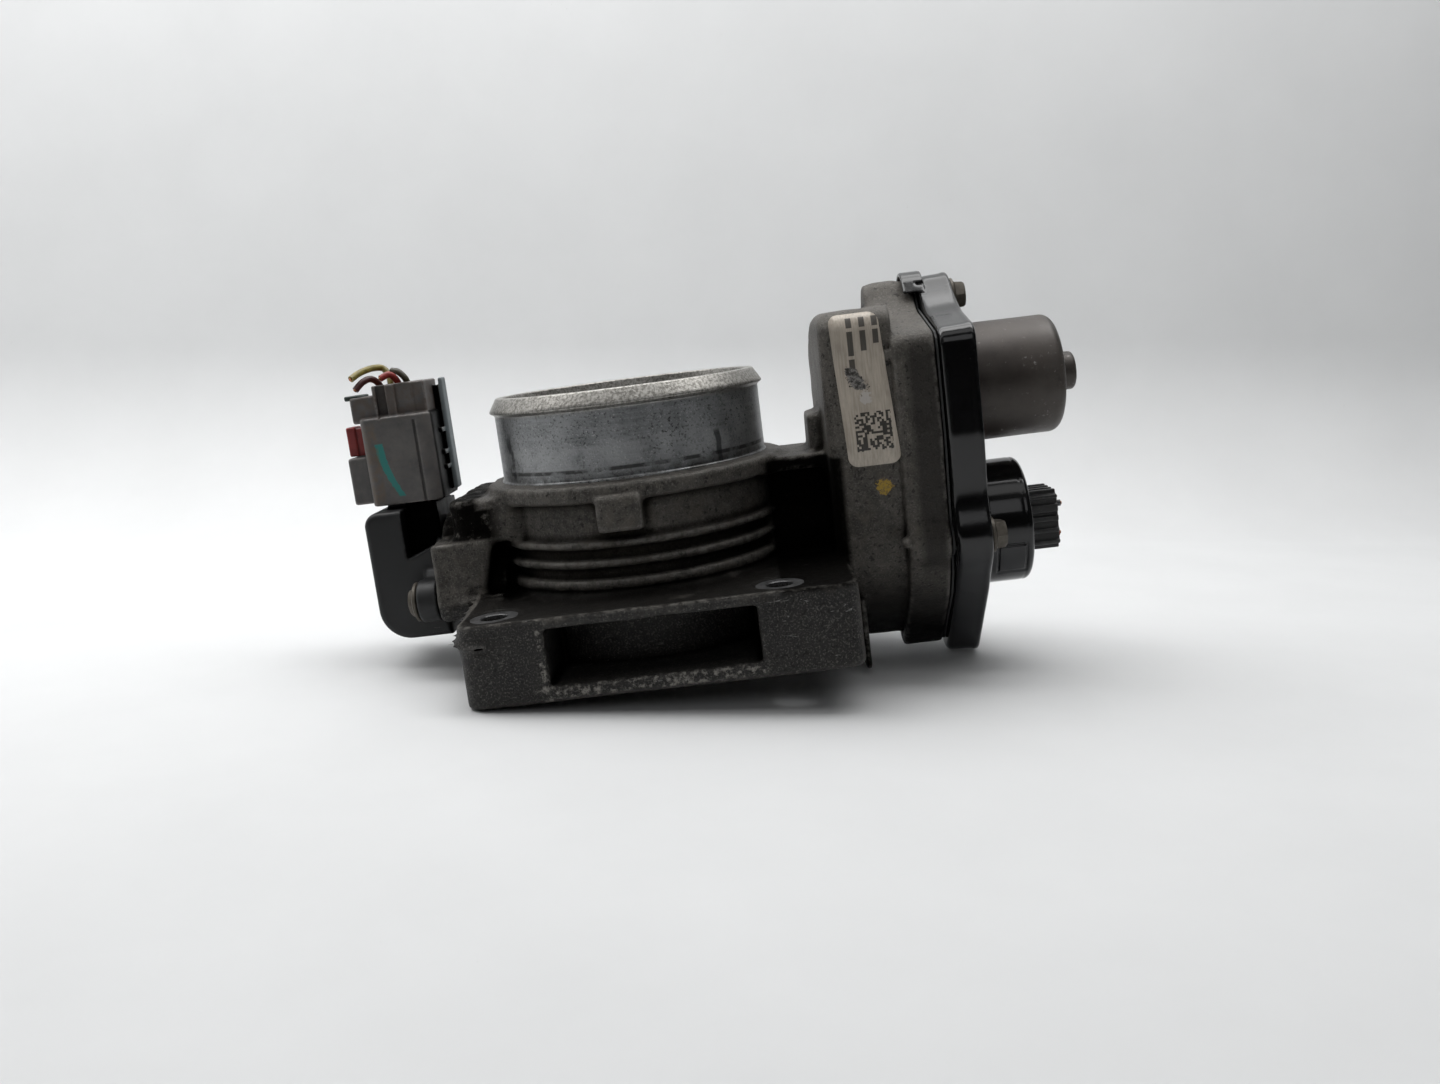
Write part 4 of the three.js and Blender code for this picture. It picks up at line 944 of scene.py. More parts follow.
# The part lies on its flange's lower left edge and the bottom of its cover.
REST_LEFT, REST_RIGHT = (FLANGE["left"], 0.0), (90.0, -16.2)
LEAN = math.atan2(REST_RIGHT[1] - REST_LEFT[1], REST_RIGHT[0] - REST_LEFT[0])


def make_stage():
    """A pale floor that sweeps up into a wall behind the object."""
    front, sweep, wall_at, height, half, gap = -900.0, 90.0, 190.0, 900.0, 1300.0, 0.2
    profile = [(front, 0.0), (wall_at, 0.0)]
    profile += [(wall_at + sweep * math.sin(a), sweep * (1 - math.cos(a)))
                for a in np.linspace(0, math.pi / 2, 14)[1:]]
    profile.append((wall_at + sweep, height))
    points, faces = [], []
    for y, z in profile:
        points += [(-half, y, z), (half, y, z)]
    for i in range(len(profile) - 1):
        faces.append((2 * i, 2 * i + 1, 2 * i + 3, 2 * i + 2))
    mesh = bpy.data.meshes.new("floor")
    mesh.from_pydata([tuple(c * MM for c in p) for p in points], [], faces)
    mesh.polygons.foreach_set("use_smooth", np.ones(len(faces), bool))
    mesh.materials.append(MAT["floor"])
    floor = bpy.data.objects.new("floor", mesh)
    bpy.context.scene.collection.objects.link(floor)
    corner = to_world(REST_LEFT[0], 0, REST_LEFT[1] - gap)
    floor.matrix_world = Matrix.Translation(corner) @ Matrix.Rotation(-LEAN, 4, "Y")


def area_light(name, spot, target, size, power, colour=(1, 1, 1)):
    data = bpy.data.lights.new(name, "AREA")
    data.shape = "RECTANGLE"
    data.size, data.size_y = size[0] * MM, size[1] * MM
    data.energy = power
    data.color = colour
    light = bpy.data.objects.new(name, data)
    bpy.context.scene.collection.objects.link(light)
    light.location = to_world(*spot)
    aim = to_world(*target) - light.location
    light.rotation_euler = aim.to_track_quat("-Z", "Y").to_euler()


# Where each light is, what it points at, its size, its power and perhaps its colour.
LIGHTS = {
    "softbox": ((10, 110, 560), (10, 30, 0), (1000, 400), 4.4),
    "front_fill": ((40, -620, 420), (10, 0, 40), (520, 300), 0.40, (0.97, 0.98, 1.0)),
    "side_fill": ((-560, 60, 300), (-40, 0, 50), (360, 300), 0.4),
    "floor_light": ((10, -230, 520), (10, -230, 0), (1200, 200), 0.7),
    "wall_light": ((10, 20, 560), (10, 420, 160), (1200, 200), 1.6),
}
# The sky brightens with height: heights it goes from and to, and its brightness there.
SKY = {"From Min": 0.15, "From Max": 0.9, "To Min": 0.07, "To Max": 0.8}
SKY_STRENGTH = 0.10


def make_lights():
    bpy.context.scene.view_settings.view_transform = "Standard"
    for name, row in LIGHTS.items():
        area_light(name, *row)
    world = bpy.data.worlds.new("studio")
    world.use_nodes = True
    bpy.context.scene.world = world
    nodes, links = world.node_tree.nodes, world.node_tree.links
    background = nodes["Background"]
    where = nodes.new("ShaderNodeTexCoord").outputs["Generated"]
    height = nodes.new("ShaderNodeSeparateXYZ")
    links.new(where, height.inputs[0])
    ramp = nodes.new("ShaderNodeMapRange")
    links.new(height.outputs["Z"], ramp.inputs["Value"])
    for key, value in SKY.items():
        ramp.inputs[key].default_value = value
    links.new(ramp.outputs[0], background.inputs["Color"])
    background.inputs["Strength"].default_value = SKY_STRENGTH


# ------------------------------------------------------------------ loose wires
WIRE_R = 0.95
WIRE_ROUTES = {
    "sensor_wire_dark_red": [(-69.9, 0, 77.4), (-69.9, 0, 81), (-70.4, -1.2, 84.4), (-71.8, -3.4, 86),
                             (-73.6, -5.4, 85.4), (-75.6, -7, 83.4)],
    "sensor_wire_yellow": [(-67.35, 0, 75), (-67.35, 0, 80), (-67.4, 0.4, 83.6), (-68, 2, 86.6),
                           (-69.6, 2.6, 88.6), (-71.4, 0.6, 89), (-73.2, -2.4, 88.6), (-74.8, -5, 87.8),
                           (-76.2, -7.4, 86.6)],
    "sensor_wire_red": [(-64.8, 0, 77.4), (-64.8, 0, 82), (-65.1, -1.2, 84.8), (-66.6, -2.6, 86.6),
                        (-68.8, -4.2, 85.8)],
    "sensor_wire_olive": [(-62.25, 0, 77.4), (-62.25, 0, 82.4), (-62.7, -0.6, 85), (-64.4, -0.4, 87),
                          (-66.6, 1, 87.6)],
    "motor_wire_upper": [(110, -2, 26.4), (113, -2, 26.4), (117, -2, 26.4), (121.2, -2, 26.4)],
    "motor_wire_lower": [(110, -2, 17.8), (113, -2, 17.8), (117, -2, 17.8), (120.4, -2, 17.8)],
}
MOTOR_WIRE_FINISH = {"motor_wire_upper": "wire_grey", "motor_wire_lower": "wire_red"}
COPPER_R, COPPER_OUT = 0.5, 0.35


def spline_points(route, per_span=10):
    """Centripetal spline through a route, as the CAD's wires follow."""
    p = np.array(route, float)
    p = np.vstack([2 * p[0] - p[1], p, 2 * p[-1] - p[-2]])
    out = []
    for a, b, c, d in zip(p, p[1:], p[2:], p[3:]):
        t = [0.0]
        for u, v in ((a, b), (b, c), (c, d)):
            t.append(t[-1] + max(np.linalg.norm(v - u), 1e-6) ** 0.5)
        for s in np.linspace(t[1], t[2], per_span, endpoint=False):
            a1 = (t[1] - s) / (t[1] - t[0]) * a + (s - t[0]) / (t[1] - t[0]) * b
            a2 = (t[2] - s) / (t[2] - t[1]) * b + (s - t[1]) / (t[2] - t[1]) * c
            a3 = (t[3] - s) / (t[3] - t[2]) * c + (s - t[2]) / (t[3] - t[2]) * d
            b1 = (t[2] - s) / (t[2] - t[0]) * a1 + (s - t[0]) / (t[2] - t[0]) * a2
            b2 = (t[3] - s) / (t[3] - t[1]) * a2 + (s - t[1]) / (t[3] - t[1]) * a3
            out.append((t[2] - s) / (t[2] - t[1]) * b1 + (s - t[1]) / (t[2] - t[1]) * b2)
    return np.array(out + [p[-2]])


def tube(name, path, r, material, body, replaces=(), sides=16):
    """A round tube along a path of close points, with flat ends."""
    path = np.asarray(path, float)
    tangent = np.gradient(path, axis=0)
    tangent /= np.linalg.norm(tangent, axis=1)[:, None]
    normal = np.cross(tangent[0], (0.3, 0.9, 0.1))
    points, faces = [], []
    for k, (p, t) in enumerate(zip(path, tangent)):
        normal = normal - np.dot(normal, t) * t
        normal /= np.linalg.norm(normal)
        other = np.cross(t, normal)
        for i in range(sides):
            a = 2 * math.pi * i / sides
            points.append(p + r * (math.cos(a) * normal + math.sin(a) * other))
        if k:
            base = (k - 1) * sides
            for i in range(sides):
                j = (i + 1) % sides
                faces.append((base + i, base + j, base + sides + j, base + sides + i))
    faces.append(tuple(range(sides))[::-1])
    last = (len(path) - 1) * sides
    faces.append(tuple(range(last, last + sides)))
    return new_object(name, points, faces, material, body, replaces, 50.0)


def make_wires():
    for name, route in WIRE_ROUTES.items():
        path = spline_points(route)
        finish = MOTOR_WIRE_FINISH.get(name) or name.removeprefix("sensor_")
        plug = BODY["motor_plug"] if name in MOTOR_WIRE_FINISH else BODY["sensor_plug"]
        tube(name + "_insulation", path, WIRE_R, MAT[finish], plug, [name])
        way = path[-1] - path[-2]
        tip = path[-1] + way / np.linalg.norm(way) * COPPER_OUT
        tube(name + "_copper", [path[-3], path[-1], tip], COPPER_R, MAT["copper"], plug, (), 10)


# ------------------------------------------------------------------ the casting
def flange_field(g):
    plate = plate_z(g, (FLANGE["left"], FLANGE["right"]), (-FLANGE["half"], FLANGE["half"]),
                    FLANGE["corner"], (0, FLANGE["top"]), 1.0)
    radius = np.hypot(g.X, g.Y)
    pocket = box(g, (POCKET["left"], POCKET["right"]), (-90, 90), (POCKET["bottom"], POCKET["top"]), 1.0)
    pocket = meet(pocket, POCKET["inner"] - radius, 1.2)
    plate = cut(plate, pocket, 1.0)
    return plate, radius


def bore_field(g, radius):
    column = rounded_meet(radius - SPIGOT_R, slab(g.Z, 1, 52.6), 0.4)
    for level in RIB_LEVELS:
        rib = rounded_meet(np.abs(radius - 38.5) - 2.0, np.abs(g.Z - level) - 1.0, 0.8)
        column = join(column, rib, 1.3)
    ring = rounded_meet(radius - RING["r"], slab(g.Z, RING["bottom"], RING["top"]), 1.5)
    column = join(column, ring, 2.0)
    boss = box(g, (-7.6, 4.4), (-44.2, -36), (39.6, 49), 1.0)
    return join(column, boss, 1.6)


def sensor_side_field(g):
    pad = hull_x(g, [(-20, 23, 6.6), (20, 35, 6.6), (0, SHAFT_Z, 15.5)], (-57, -48), 0.8)
    shank = hull_x(g, [(-18, 25, 4), (18, 33, 4), (0, SHAFT_Z, 14)], (-50, -38), 0.8)
    shelf = plate_z(g, (ARM_LEFT, -30), (-24, 24), 5.0, (37.5, 50), 1.6)
    shelf = cut(shelf, box(g, (-60, -48.5), (-12, 30), (30, 39)), 1.0)
    brace = box(g, (-50, -40), (-9, 9), (0.5, 30), 1.0)
    left, right, low_right, front, back, bottom, top = GUSSET.values()
    slant = (g.X - low_right) - (g.Z - bottom) * (right - low_right) / (top - bottom)
    gusset = box(g, (left, right), (front, back), (bottom, top), 1.2)
    gusset = rounded_meet(gusset, slant * 0.95, 1.2)
    side = join(join(pad, shank, 2.5), gusset, 1.6)
    return join(join(side, shelf, 3.0), brace, 2.5)


def web_field(g):
    shelf = box(g, (36, 57), (-17, 17), (46.8, 51), 1.2)
    wall = box(g, (36, 57), (-7, 7), (20, 50), 1.0)
    boss = rod_x(g, (30, 58.5), 0, SHAFT_Z, 12.5)
    rib_end = box(g, (50.5, 57), (-13, 9), (48, 61.5), 1.2)
    fin = box(g, (59.2, 60.8), (-22, -12), (-11, 9), 0.5)
    field = join(join(shelf, wall, 2.5), boss, 2.5)
    return join(join(field, rib_end, 1.5), fin, 0.8)


CASE_LEFT, CASE_EDGE = 54.6, 4.2


def case_outline(g, low):
    """The case's outline, drawn in a little at its foot and along its front."""
    front = np.clip((-8 - g.Y) / 14, 0, 1) * np.clip((84 - g.Z) / 8, 0, 1)
    return outline(g.Y, g.Z, BODY_LOBE) + 1.2 * low + 1.0 * front


def case_foot(g):
    return np.clip((26 - g.Z) / 30, 0, 1)


def case_field(g):
    low = case_foot(g)
    left = CASE_LEFT + 4.6 * low * low * (3 - 2 * low)
    case = rounded_meet(case_outline(g, low), left - g.X, CASE_EDGE)
    case = np.maximum(case, g.X - CASE["step"] - 1)
    lug = rounded_meet(outline(g.Y, g.Z, TOP_LUG) + 0.6, slab(g.X, CASE["lug_left"], 80), 1.0)
    rim = rounded_meet(rim_outline(g, RIM_LOBE) + 0.7, slab(g.X, CASE["step"], CASE["seam"]), 0.9)
    rim = join(rim, lug, 2.0)
    nubs = join(box(g, (71.2, 73.6), (-34.2, -30), (24.4, 27.0), 0.4),
                box(g, (71.2, 73.6), (-33.2, -28), (74.4, 77.0), 0.4))
    return join(join(case, rim, 1.1), nubs, 0.8)


def case_room(g):
    wall = case_outline(g, case_foot(g)) + CASE["wall"]
    inside = rounded_meet(wall, slab(g.X, CASE["inner_left"], 74), 1.0)
    rim = meet(outline(g.Y, g.Z, RIM_LOBE) + CASE["rim_wall"], slab(g.X, CASE["step"], 90))
    return join(inside, around_posts(g, rim), 0.5)


BEARING_SEAT_R, SHAFT_HOLE_R = 8.2, 5.6
BOLT_CORNERS = ((-1, -1), (1, -1), (-1, 1), (1, 1))


def casting_holes(g, field):
    shaft = [(0, SHAFT_Z)]
    field = drilled_x(g, field, COVER_SCREWS, (75, 90), 2.6)
    field = drilled_x(g, field, shaft, (-60, -43), BEARING_SEAT_R)
    field = drilled_x(g, field, shaft, (43, 59.2), BEARING_SEAT_R)
    field = drilled_x(g, field, shaft, (-44, 44), SHAFT_HOLE_R)
    field = drilled_x(g, field, SENSOR_SCREWS, (-58, -49), 2.5)
    for sx, sy in BOLT_CORNERS:
        x, y = sx * BOLT["x"], sy * BOLT["y"]
        field = cut(field, rod_z(g, (-3, 30), x, y, BOLT["r"]), 0.5)
        spot = rod_z(g, (FLANGE["top"] - BOLT["spot_depth"], 26), x, y, BOLT["spot_r"])
        field = cut(field, spot, 0.3)
    return field


def flange_face(g):
    """Cuts the flange's face flat at z = 0, but leaves the gear case, which hangs lower."""
    return np.where(g.X < 58.2, -g.Z, -50.0)


def make_casting():
    g = Grid((-57, -56.5, -14), (84.6, 56.5, 95.6), cell(0.72))
    plate, radius = flange_field(g)
    column = bore_field(g, radius)
    field = join(plate, column, 5.0)
    field = join(field, sensor_side_field(g), 2.6)
    field = join(field, web_field(g), 2.4)
    field = join(field, case_field(g), 2.6)
    rough = 0.10 * lattice_noise(g, 4.5, 3) + 0.14 * lattice_noise(g, 11, 4)
    lumps = np.clip((-38 - g.X) / 4, 0, 1) * np.clip((g.Z - 36) / 3, 0, 1)
    rough = rough + 0.35 * lattice_noise(g, 3.0, 5) * lumps
    field = field + rough
    field = cut(field, case_room(g))
    pin_seat = rod_x(g, (55, 59.2), *IDLER, 5)
    field = cut(join(field, pin_seat, 1.0), rod_x(g, (56.5, 60), *IDLER, 2.3))
    field = casting_holes(g, field)
    field = cut(field, radius - (BORE_R + 0.4))
    field = meet(meet(meet(field, flange_face(g)), g.X - CASE["seam"]), -57.0 - g.X)
    field = meet(field, np.where(radius < 45, g.Z - 52.7, -50.0))
    return field_object("housing_casting", g, field, "cast", "housing", "throttle_housing",
                        185000)


def make_spigot():
    bead_r = 39.3
    profile = [(BORE_R, 0.1), (BORE_R, 70.2)]
    profile += [(34.8, 75.6)] + arc(35.3, 75.7, 0.5, 170, 90, 4) + arc(36.6, 75.4, 0.8, 90, 30, 5)
    profile += [(38.9, 73.2)] + arc(bead_r - 0.6, 72.4, 0.6, 20, -80, 6) + [(38.3, 71.5)]
    profile += arc(38.5, 71.0, 0.5, 120, 180, 4) + [(SPIGOT_R, 53.6)] + arc(38.6, 53.4, 0.6, 180, 250, 4)
    profile += [(38.6, 52.2), (BORE_R + 0.7, 52.2), (BORE_R + 0.7, 0.1)]
    spun("housing_spigot", profile, "z", (0, 0, 0), MAT["machined"], BODY["housing"], ["throttle_housing"],
         160, closed=True)


def make_spotfaces():
    level = FLANGE["top"] - BOLT["spot_depth"]
    hole, rim = BOLT["r"], BOLT["spot_r"]
    profile = [(hole + 0.1, level - 3), (hole, level - 3), (hole, level - 0.2), (hole + 0.25, level + 0.06),
               (rim - 0.35, level + 0.06), (rim - 0.2, level - 0.3), (hole + 0.6, level - 0.4)]
    for i, (sx, sy) in enumerate(BOLT_CORNERS, 1):
        spun(f"bolt_spotface_{i}", profile, "z", (sx * BOLT["x"], sy * BOLT["y"], 0), MAT["spotface"],
             BODY["housing"], ["throttle_housing"], 48, closed=True)


# ------------------------------------------------------------------ the label
LABEL = dict(left=59.4, right=73.2, bottom=47.4, top=87.4, corner=2.6, lean=0.045, spread=0.022)
FILM_OUT, FILM_IN = 0.22, 0.1


def label_outline():
    """The film's outline as close points (x, z), with round corners, leaning left as it rises."""
    x0, x1, z0, z1, r, lean, spread = LABEL.values()
    corners = []
    middles = ((x1 - r, z0 + r), (x1 - r, z1 - r), (x0 + r, z1 - r), (x0 + r, z0 + r))
    for (cx, cz), start in zip(middles, (-90, 0, 90, 180)):
        for a in np.radians(np.linspace(start, start + 90, 7)):
            corners.append((cx + r * math.cos(a), cz + r * math.sin(a)))
    corners = np.array(corners)
    edge = []
    for p, q in zip(corners, np.roll(corners, -1, axis=0)):
        count = max(1, int(np.linalg.norm(q - p) / 1.5))
        edge += [p + (q - p) * k / count for k in range(count)]
    edge = np.array(edge)
    across = (edge[:, 0] - x0) / (x1 - x0)
    edge[:, 0] -= (edge[:, 1] - z0) * (lean + spread * across)
    return edge


def make_label(casting):
    """A thin film laid on the casting's own front surface."""
    edge = label_outline()
    middle = edge.mean(0)
    flat = np.vstack([middle + (edge - middle) * scale for scale in np.linspace(1, 0.04, 12)])
    tree = BVHTree.FromObject(casting, bpy.context.evaluated_depsgraph_get())
    ahead = Vector((0, 1, 0))
    y = []
    for x, z in flat:
        hit = tree.ray_cast(to_world(x, -80, z), ahead)[0]
        y.append((hit.y - ORIGIN.y) / MM)
    y = np.array(y)
    count, rings = len(edge), len(flat) // len(edge)
    front = np.column_stack([flat[:, 0], y - FILM_OUT, flat[:, 1]])
    back = np.column_stack([flat[:, 0], y + FILM_IN, flat[:, 1]])
    points = np.vstack([front, back])
    offset = len(front)
    faces = []
    for k in range(rings - 1):
        for i in range(count):
            j = (i + 1) % count
            quad = (k * count + i, k * count + j, (k + 1) * count + j, (k + 1) * count + i)
            faces.append(quad)
            faces.append(tuple(v + offset for v in quad[::-1]))
    last = (rings - 1) * count
    faces.append(tuple(last + i for i in range(count)))
    faces.append(tuple(last + offset + i for i in range(count))[::-1])
    for i in range(count):
        j = (i + 1) % count
        faces.append((i, i + offset, j + offset, j))
    new_object("label_film", points, faces, MAT["label"], BODY["housing"], ["blank_label"], 50.0)


# ------------------------------------------------------------------ cover, motor and right-hand connector
def make_cover():
    g = Grid((81.0, -36, -17), (97, 38.5, 98.2), cell(0.45))
    rim = rim_outline(g, COVER_LOBE, 10.0)
    low_part = np.clip((30 - g.Z) / 60, 0, 1)
    skirt = rim + 0.5 * np.clip((94 - g.X) / 9, 0, 1) + 0.25 * low_part
    shell = rounded_meet(skirt, slab(g.X, COVER["left"], COVER["right"]), 1.5)
    plate = rounded_meet(rim - 0.05, slab(g.X, 93.2, COVER["right"]), 0.75)
    field = join(shell, plate, 0.5)
    tongue = rounded_meet(np.abs(outline(g.Y, g.Z, TOP_LUG) - 1.0) - 0.6, slab(g.X, 81.4, 87.5), 0.5)
    field = join(field, np.maximum(tongue, 91.0 - g.Z), 0.6)
    field = cut(field, box(g, (85.4, 89.6), (-8, -3.5), (93.0, 93.7), 0.2), 0.3)
    field = join(field, rod_x(g, (94, 96.3), 0, MOTOR_Z, 19.6, 0.7), 0.8)
    for y, z in COVER_SCREWS:
        field = join(field, rod_x(g, (93, 95.25), y, z, 5.3, 0.3), 0.6)
    for y, z in ((12, 40), (-14, 44)):
        rib = box(g, (93, 96), (y - 0.8, y + 0.8), (z - 2, z + 8), 0.4)
        field = join(field, rib, 0.8)
    room = meet(outline(g.Y, g.Z, RIM_LOBE) + CASE["rim_wall"], slab(g.X, 80, COVER["inner"]))
    field = cut(field, around_posts(g, room))
    field = cut(field, rod_x(g, (80, 100), 0, MOTOR_Z, 17.3))
    field = drilled_x(g, field, COVER_SCREWS, (80, 100), 2.5)
    for dy in MOTOR_BLADES:
        y = CAP["y"] + dy
        field = cut(field, box(g, (88, 99), (y - 1.5, y + 1.5), (20, 26)))
    field_object("gear_cover_moulding", g, field, "gloss", "housing", "gear_cover",
                 120000)


def make_motor():
    r, left, right, boss_r, tip = CAN.values()
    profile = [(r - 1.1, left), (r - 0.1, left), (r, left + 0.2), (r, 95.0), (r - 0.15, 97.5), (r - 0.3, 112)]
    profile += arc(r - 3.4, right - 3.1, 3.1, 0, 82, 9)
    profile += [(9, right - 0.15), (boss_r + 2.2, right - 0.15)]
    profile += arc(boss_r + 1.3, right + 0.9, 1.1, 260, 185, 6)
    profile += [(boss_r, tip - 1.0)] + arc(boss_r - 1.0, tip - 1.0, 1.0, 0, 90, 5)
    profile += [(2.4, tip), (2.0, tip - 0.4), (0, tip - 0.4), (0, tip - 1.4), (3.6, tip - 1.4),
                (3.6, right - 1.2), (r - 3.4, right - 1.2), (r - 1.2, right - 3.4)]
    spun("motor_can_drawn", profile, "x", (0, 0, MOTOR_Z), MAT["motor"], BODY["housing"], ["motor_can"],
         128, closed=True)


COVER_SCREW = dict(tip=77, seat=95.3, way=1, flange_r=4.9, hex_r=4.0, height=4.2)
SENSOR_SCREW = dict(tip=-49.5, seat=-63.3, way=-1, flange_r=5.5, hex_r=4.1, height=2.7)


def screw_mesh(node, y, z, tip, seat, way, flange_r, hex_r, height):
    """A flanged hexagon screw along X: way is +1 when its head points to +X."""
    points, faces, sides, thread_r = [], [], 48, 2.1
    rows = [(0.3, tip, 0), (thread_r - 0.4, tip, 0), (thread_r, tip + way * 0.5, 0), (thread_r, seat, 0),
            (flange_r - 0.3, seat, 0), (flange_r, seat + way * 0.25, 0), (flange_r, seat + way * 0.9, 0),
            (flange_r - 0.7, seat + way * 1.3, 0), (hex_r + 0.25, seat + way * 1.45, 1),
            (hex_r + 0.05, seat + way * (height - 0.7), 1), (hex_r - 0.7, seat + way * height, 0),
            (hex_r - 1.3, seat + way * height, 0), (hex_r - 1.6, seat + way * (height - 0.3), 0),
            (0.3, seat + way * (height - 0.3), 0)]
    for r, x, hexed in rows:
        for i in range(sides):
            a = 2 * math.pi * i / sides
            side = math.cos(math.radians(30)) / math.cos((a % math.radians(60)) - math.radians(30))
            radius = r * (side if hexed else 1)
            points.append((x, y + radius * math.cos(a), z + radius * math.sin(a)))
    for k in range(len(rows) - 1):
        for i in range(sides):
            j = (i + 1) % sides
            quad = (k * sides + i, k * sides + j, (k + 1) * sides + j, (k + 1) * sides + i)
            faces.append(quad if way > 0 else quad[::-1])
    start = tuple(range(sides))
    end = tuple(range((len(rows) - 1) * sides, len(rows) * sides))
    faces.append(start[::-1] if way > 0 else start)
    faces.append(end if way > 0 else end[::-1])
    new_object(node + "_hex", points, faces, MAT["screw"], BODY["housing"], [node], 30.0)


def make_screws():
    for i, (y, z) in enumerate(COVER_SCREWS, 1):
        screw_mesh(f"cover_screw_{i}", y, z, **COVER_SCREW)
    for i, (y, z) in enumerate(SENSOR_SCREWS, 1):
        screw_mesh(f"sensor_screw_{i}", y, z, **SENSOR_SCREW)


def make_connector():
    g = Grid((95.2, -20.2, 5.3), (109.8, 16.2, 41.8), cell(0.34))
    y, z = CAP["y"], CAP["z"]
    cap = rod_x(g, (CAP["left"], CAP["right"]), y, z, CAP["r"] - 0.15, 1.7)
    away = np.hypot(g.Y - y, g.Z - z)
    skirt = rounded_meet(away - CAP["r"], slab(g.X, CAP["left"], 97.2), 0.4)
    cap = join(cap, skirt, 0.5)
    seam = rounded_meet(np.abs(away - CAP["r"]) - 0.28, slab(g.X, 107.2, 107.6), 0.1)
    cap = cut(cap, seam, 0.3)
    snap = box(g, (99.0, 107.4), (-30, 0), (10.4, 19.4), 0.4)
    inner = box(g, (99.5, 106.9), (-30, 0), (10.9, 18.9), 0.4)
    frame_line = meet(cut(snap, inner), CAP["r"] - 0.6 - away)
    cap = cut(cap, frame_line, 0.2)
    room = rod_x(g, (97.7, 106.9), y, z, CAP["r"] - 2.2)
    mouth = box(g, (96, 112), (-10.8, 6.8), (14.1, 32.3), 0.8)
    cap = cut(cut(cap, room), mouth, 0.4)
    for dy in MOTOR_BLADES:
        cap = cut(cap, box(g, (94, 100), (y + dy - 1.5, y + dy + 1.5), (20, 26)))
    field_object("connector_shroud_moulding", g, cap, "gloss", "housing", "connector_shroud",
                 60000)


def make_motor_plug():
    g = Grid((97.4, -10.4, 14.5), (118.9, 6.4, 31.9), cell(0.28))
    y, z, half_y, half_z, left, right = MOTOR_PLUG.values()
    head = box(g, (left, CAP["right"]), (y - half_y, y + half_y), (z - half_z, z + half_z), 0.5)
    neck = box(g, (105, right), (y - half_y + 0.3, y + half_y - 0.3),
               (z - half_z + 1.3, z + half_z - 1.3), 0.6)
    field = join(head, neck, 0.4)
    for dy in (-5.6, -1.9, 1.9, 5.6):
        for side in (-1, 1):
            reach = sorted((z + side * half_z, z + side * (half_z - 2)))
            rib = box(g, (105, right - 0.2), (y + dy - 0.7, y + dy + 0.7), reach, 0.3)
            field = join(field, rib, 0.4)
    for reach in ((17.2, 19.4), (20.7, 22.6), (24.2, 25.2), (27.6, 29.2)):
        slit = box(g, (110.6, right + 1), (y - half_y - 1, y - half_y + 1.2), reach, 0.2)
        field = cut(field, slit, 0.3)
    for dy in MOTOR_BLADES:
        field = cut(field, box(g, (90, 105), (y + dy - 1, y + dy + 1), (20.2, 25.8)))
    for dz in (3.2, -5.4):
        field = cut(field, rod_x(g, (106, 125), y, z + dz, 1.3), 0.3)
    field_object("motor_plug_moulding", g, field, "motor_plug", "motor_plug", "motor_plug",
                 60000)


# ------------------------------------------------------------------ sensor and its plug
WIRE_X = [-69.9 + 2.55 * i for i in range(4)]


def sensor_shell(g):
    """The sensor's block, with a front recess under a slope and two screw arms."""
    left, seat_x, bottom, top, half = SENSOR.values()
    corner = rounded_meet(left - g.X, bottom - g.Z, 9.0)
    corner = rounded_meet(np.maximum(corner, g.X - seat_x), g.Z - top, 0.1)
    corner = np.maximum(corner, rounded_meet(left - g.X, g.Z - top, 4.0))
    body = rounded_meet(corner, slab(g.Y, -half, half), 1.6)
    recess = box(g, (-66.8, -50), (-20, -9.0), (34.5, 52), 0.5)
    slope = (g.Z - 34.5) - 0.38 * (g.X + 66.8)
    body = cut(body, meet(recess, -slope), 0.5)
    for y, z in SENSOR_SCREWS:
        body = join(body, rod_x(g, (-63, seat_x), y, z, 6.0, 0.6), 1.2)
        body = join(body, hull_x(g, [(y, z, 4), (0, SHAFT_Z, 9)], (-62, seat_x), 0.6), 1.2)
    return body


def with_tower(g, body, seat_x):
    """The block with its hollow connector tower on top."""
    tower_left, tower_right, half, top = TOWER.values()
    tower = box(g, (tower_left, tower_right), (-half, half), (40, top), 0.8)
    body = join(body, tower, 1.0)
    seat = box(g, (-66, seat_x), (-9, 9), (46, PLUG["bottom"] - 0.6), 0.6)
    body = join(body, seat, 0.8)
    wall = 1.4
    inside = half - wall
    return cut(body, box(g, (tower_left + wall, tower_right - wall), (-inside, inside), (52.5, 80)))


def make_sensor():
    g = Grid((-78.0, -26.2, 11.0), (-57.2, 26.2, 71.7), cell(0.4))
    seat_x = SENSOR["right"]
    body = with_tower(g, sensor_shell(g), seat_x)
    body = cut(body, rod_x(g, (-72, -50), 0, SHAFT_Z, 10))
    away = np.hypot(g.Y, g.Z - SHAFT_Z)
    body = cut(body, meet(np.abs(away - 12.1) - 1.3, -59.6 - g.X))
    body = drilled_x(g, body, SENSOR_SCREWS, (-70, -50), 2.4)
    for x in WIRE_X:
        body = cut(body, box(g, (x - 0.65, x + 0.65), (-1.3, 1.3), (47.5, 60)))
    body = meet(body, g.X - seat_x)
    field_object("sensor_body_moulding", g, body, "sensor", "housing", "sensor_body",
                 90000)


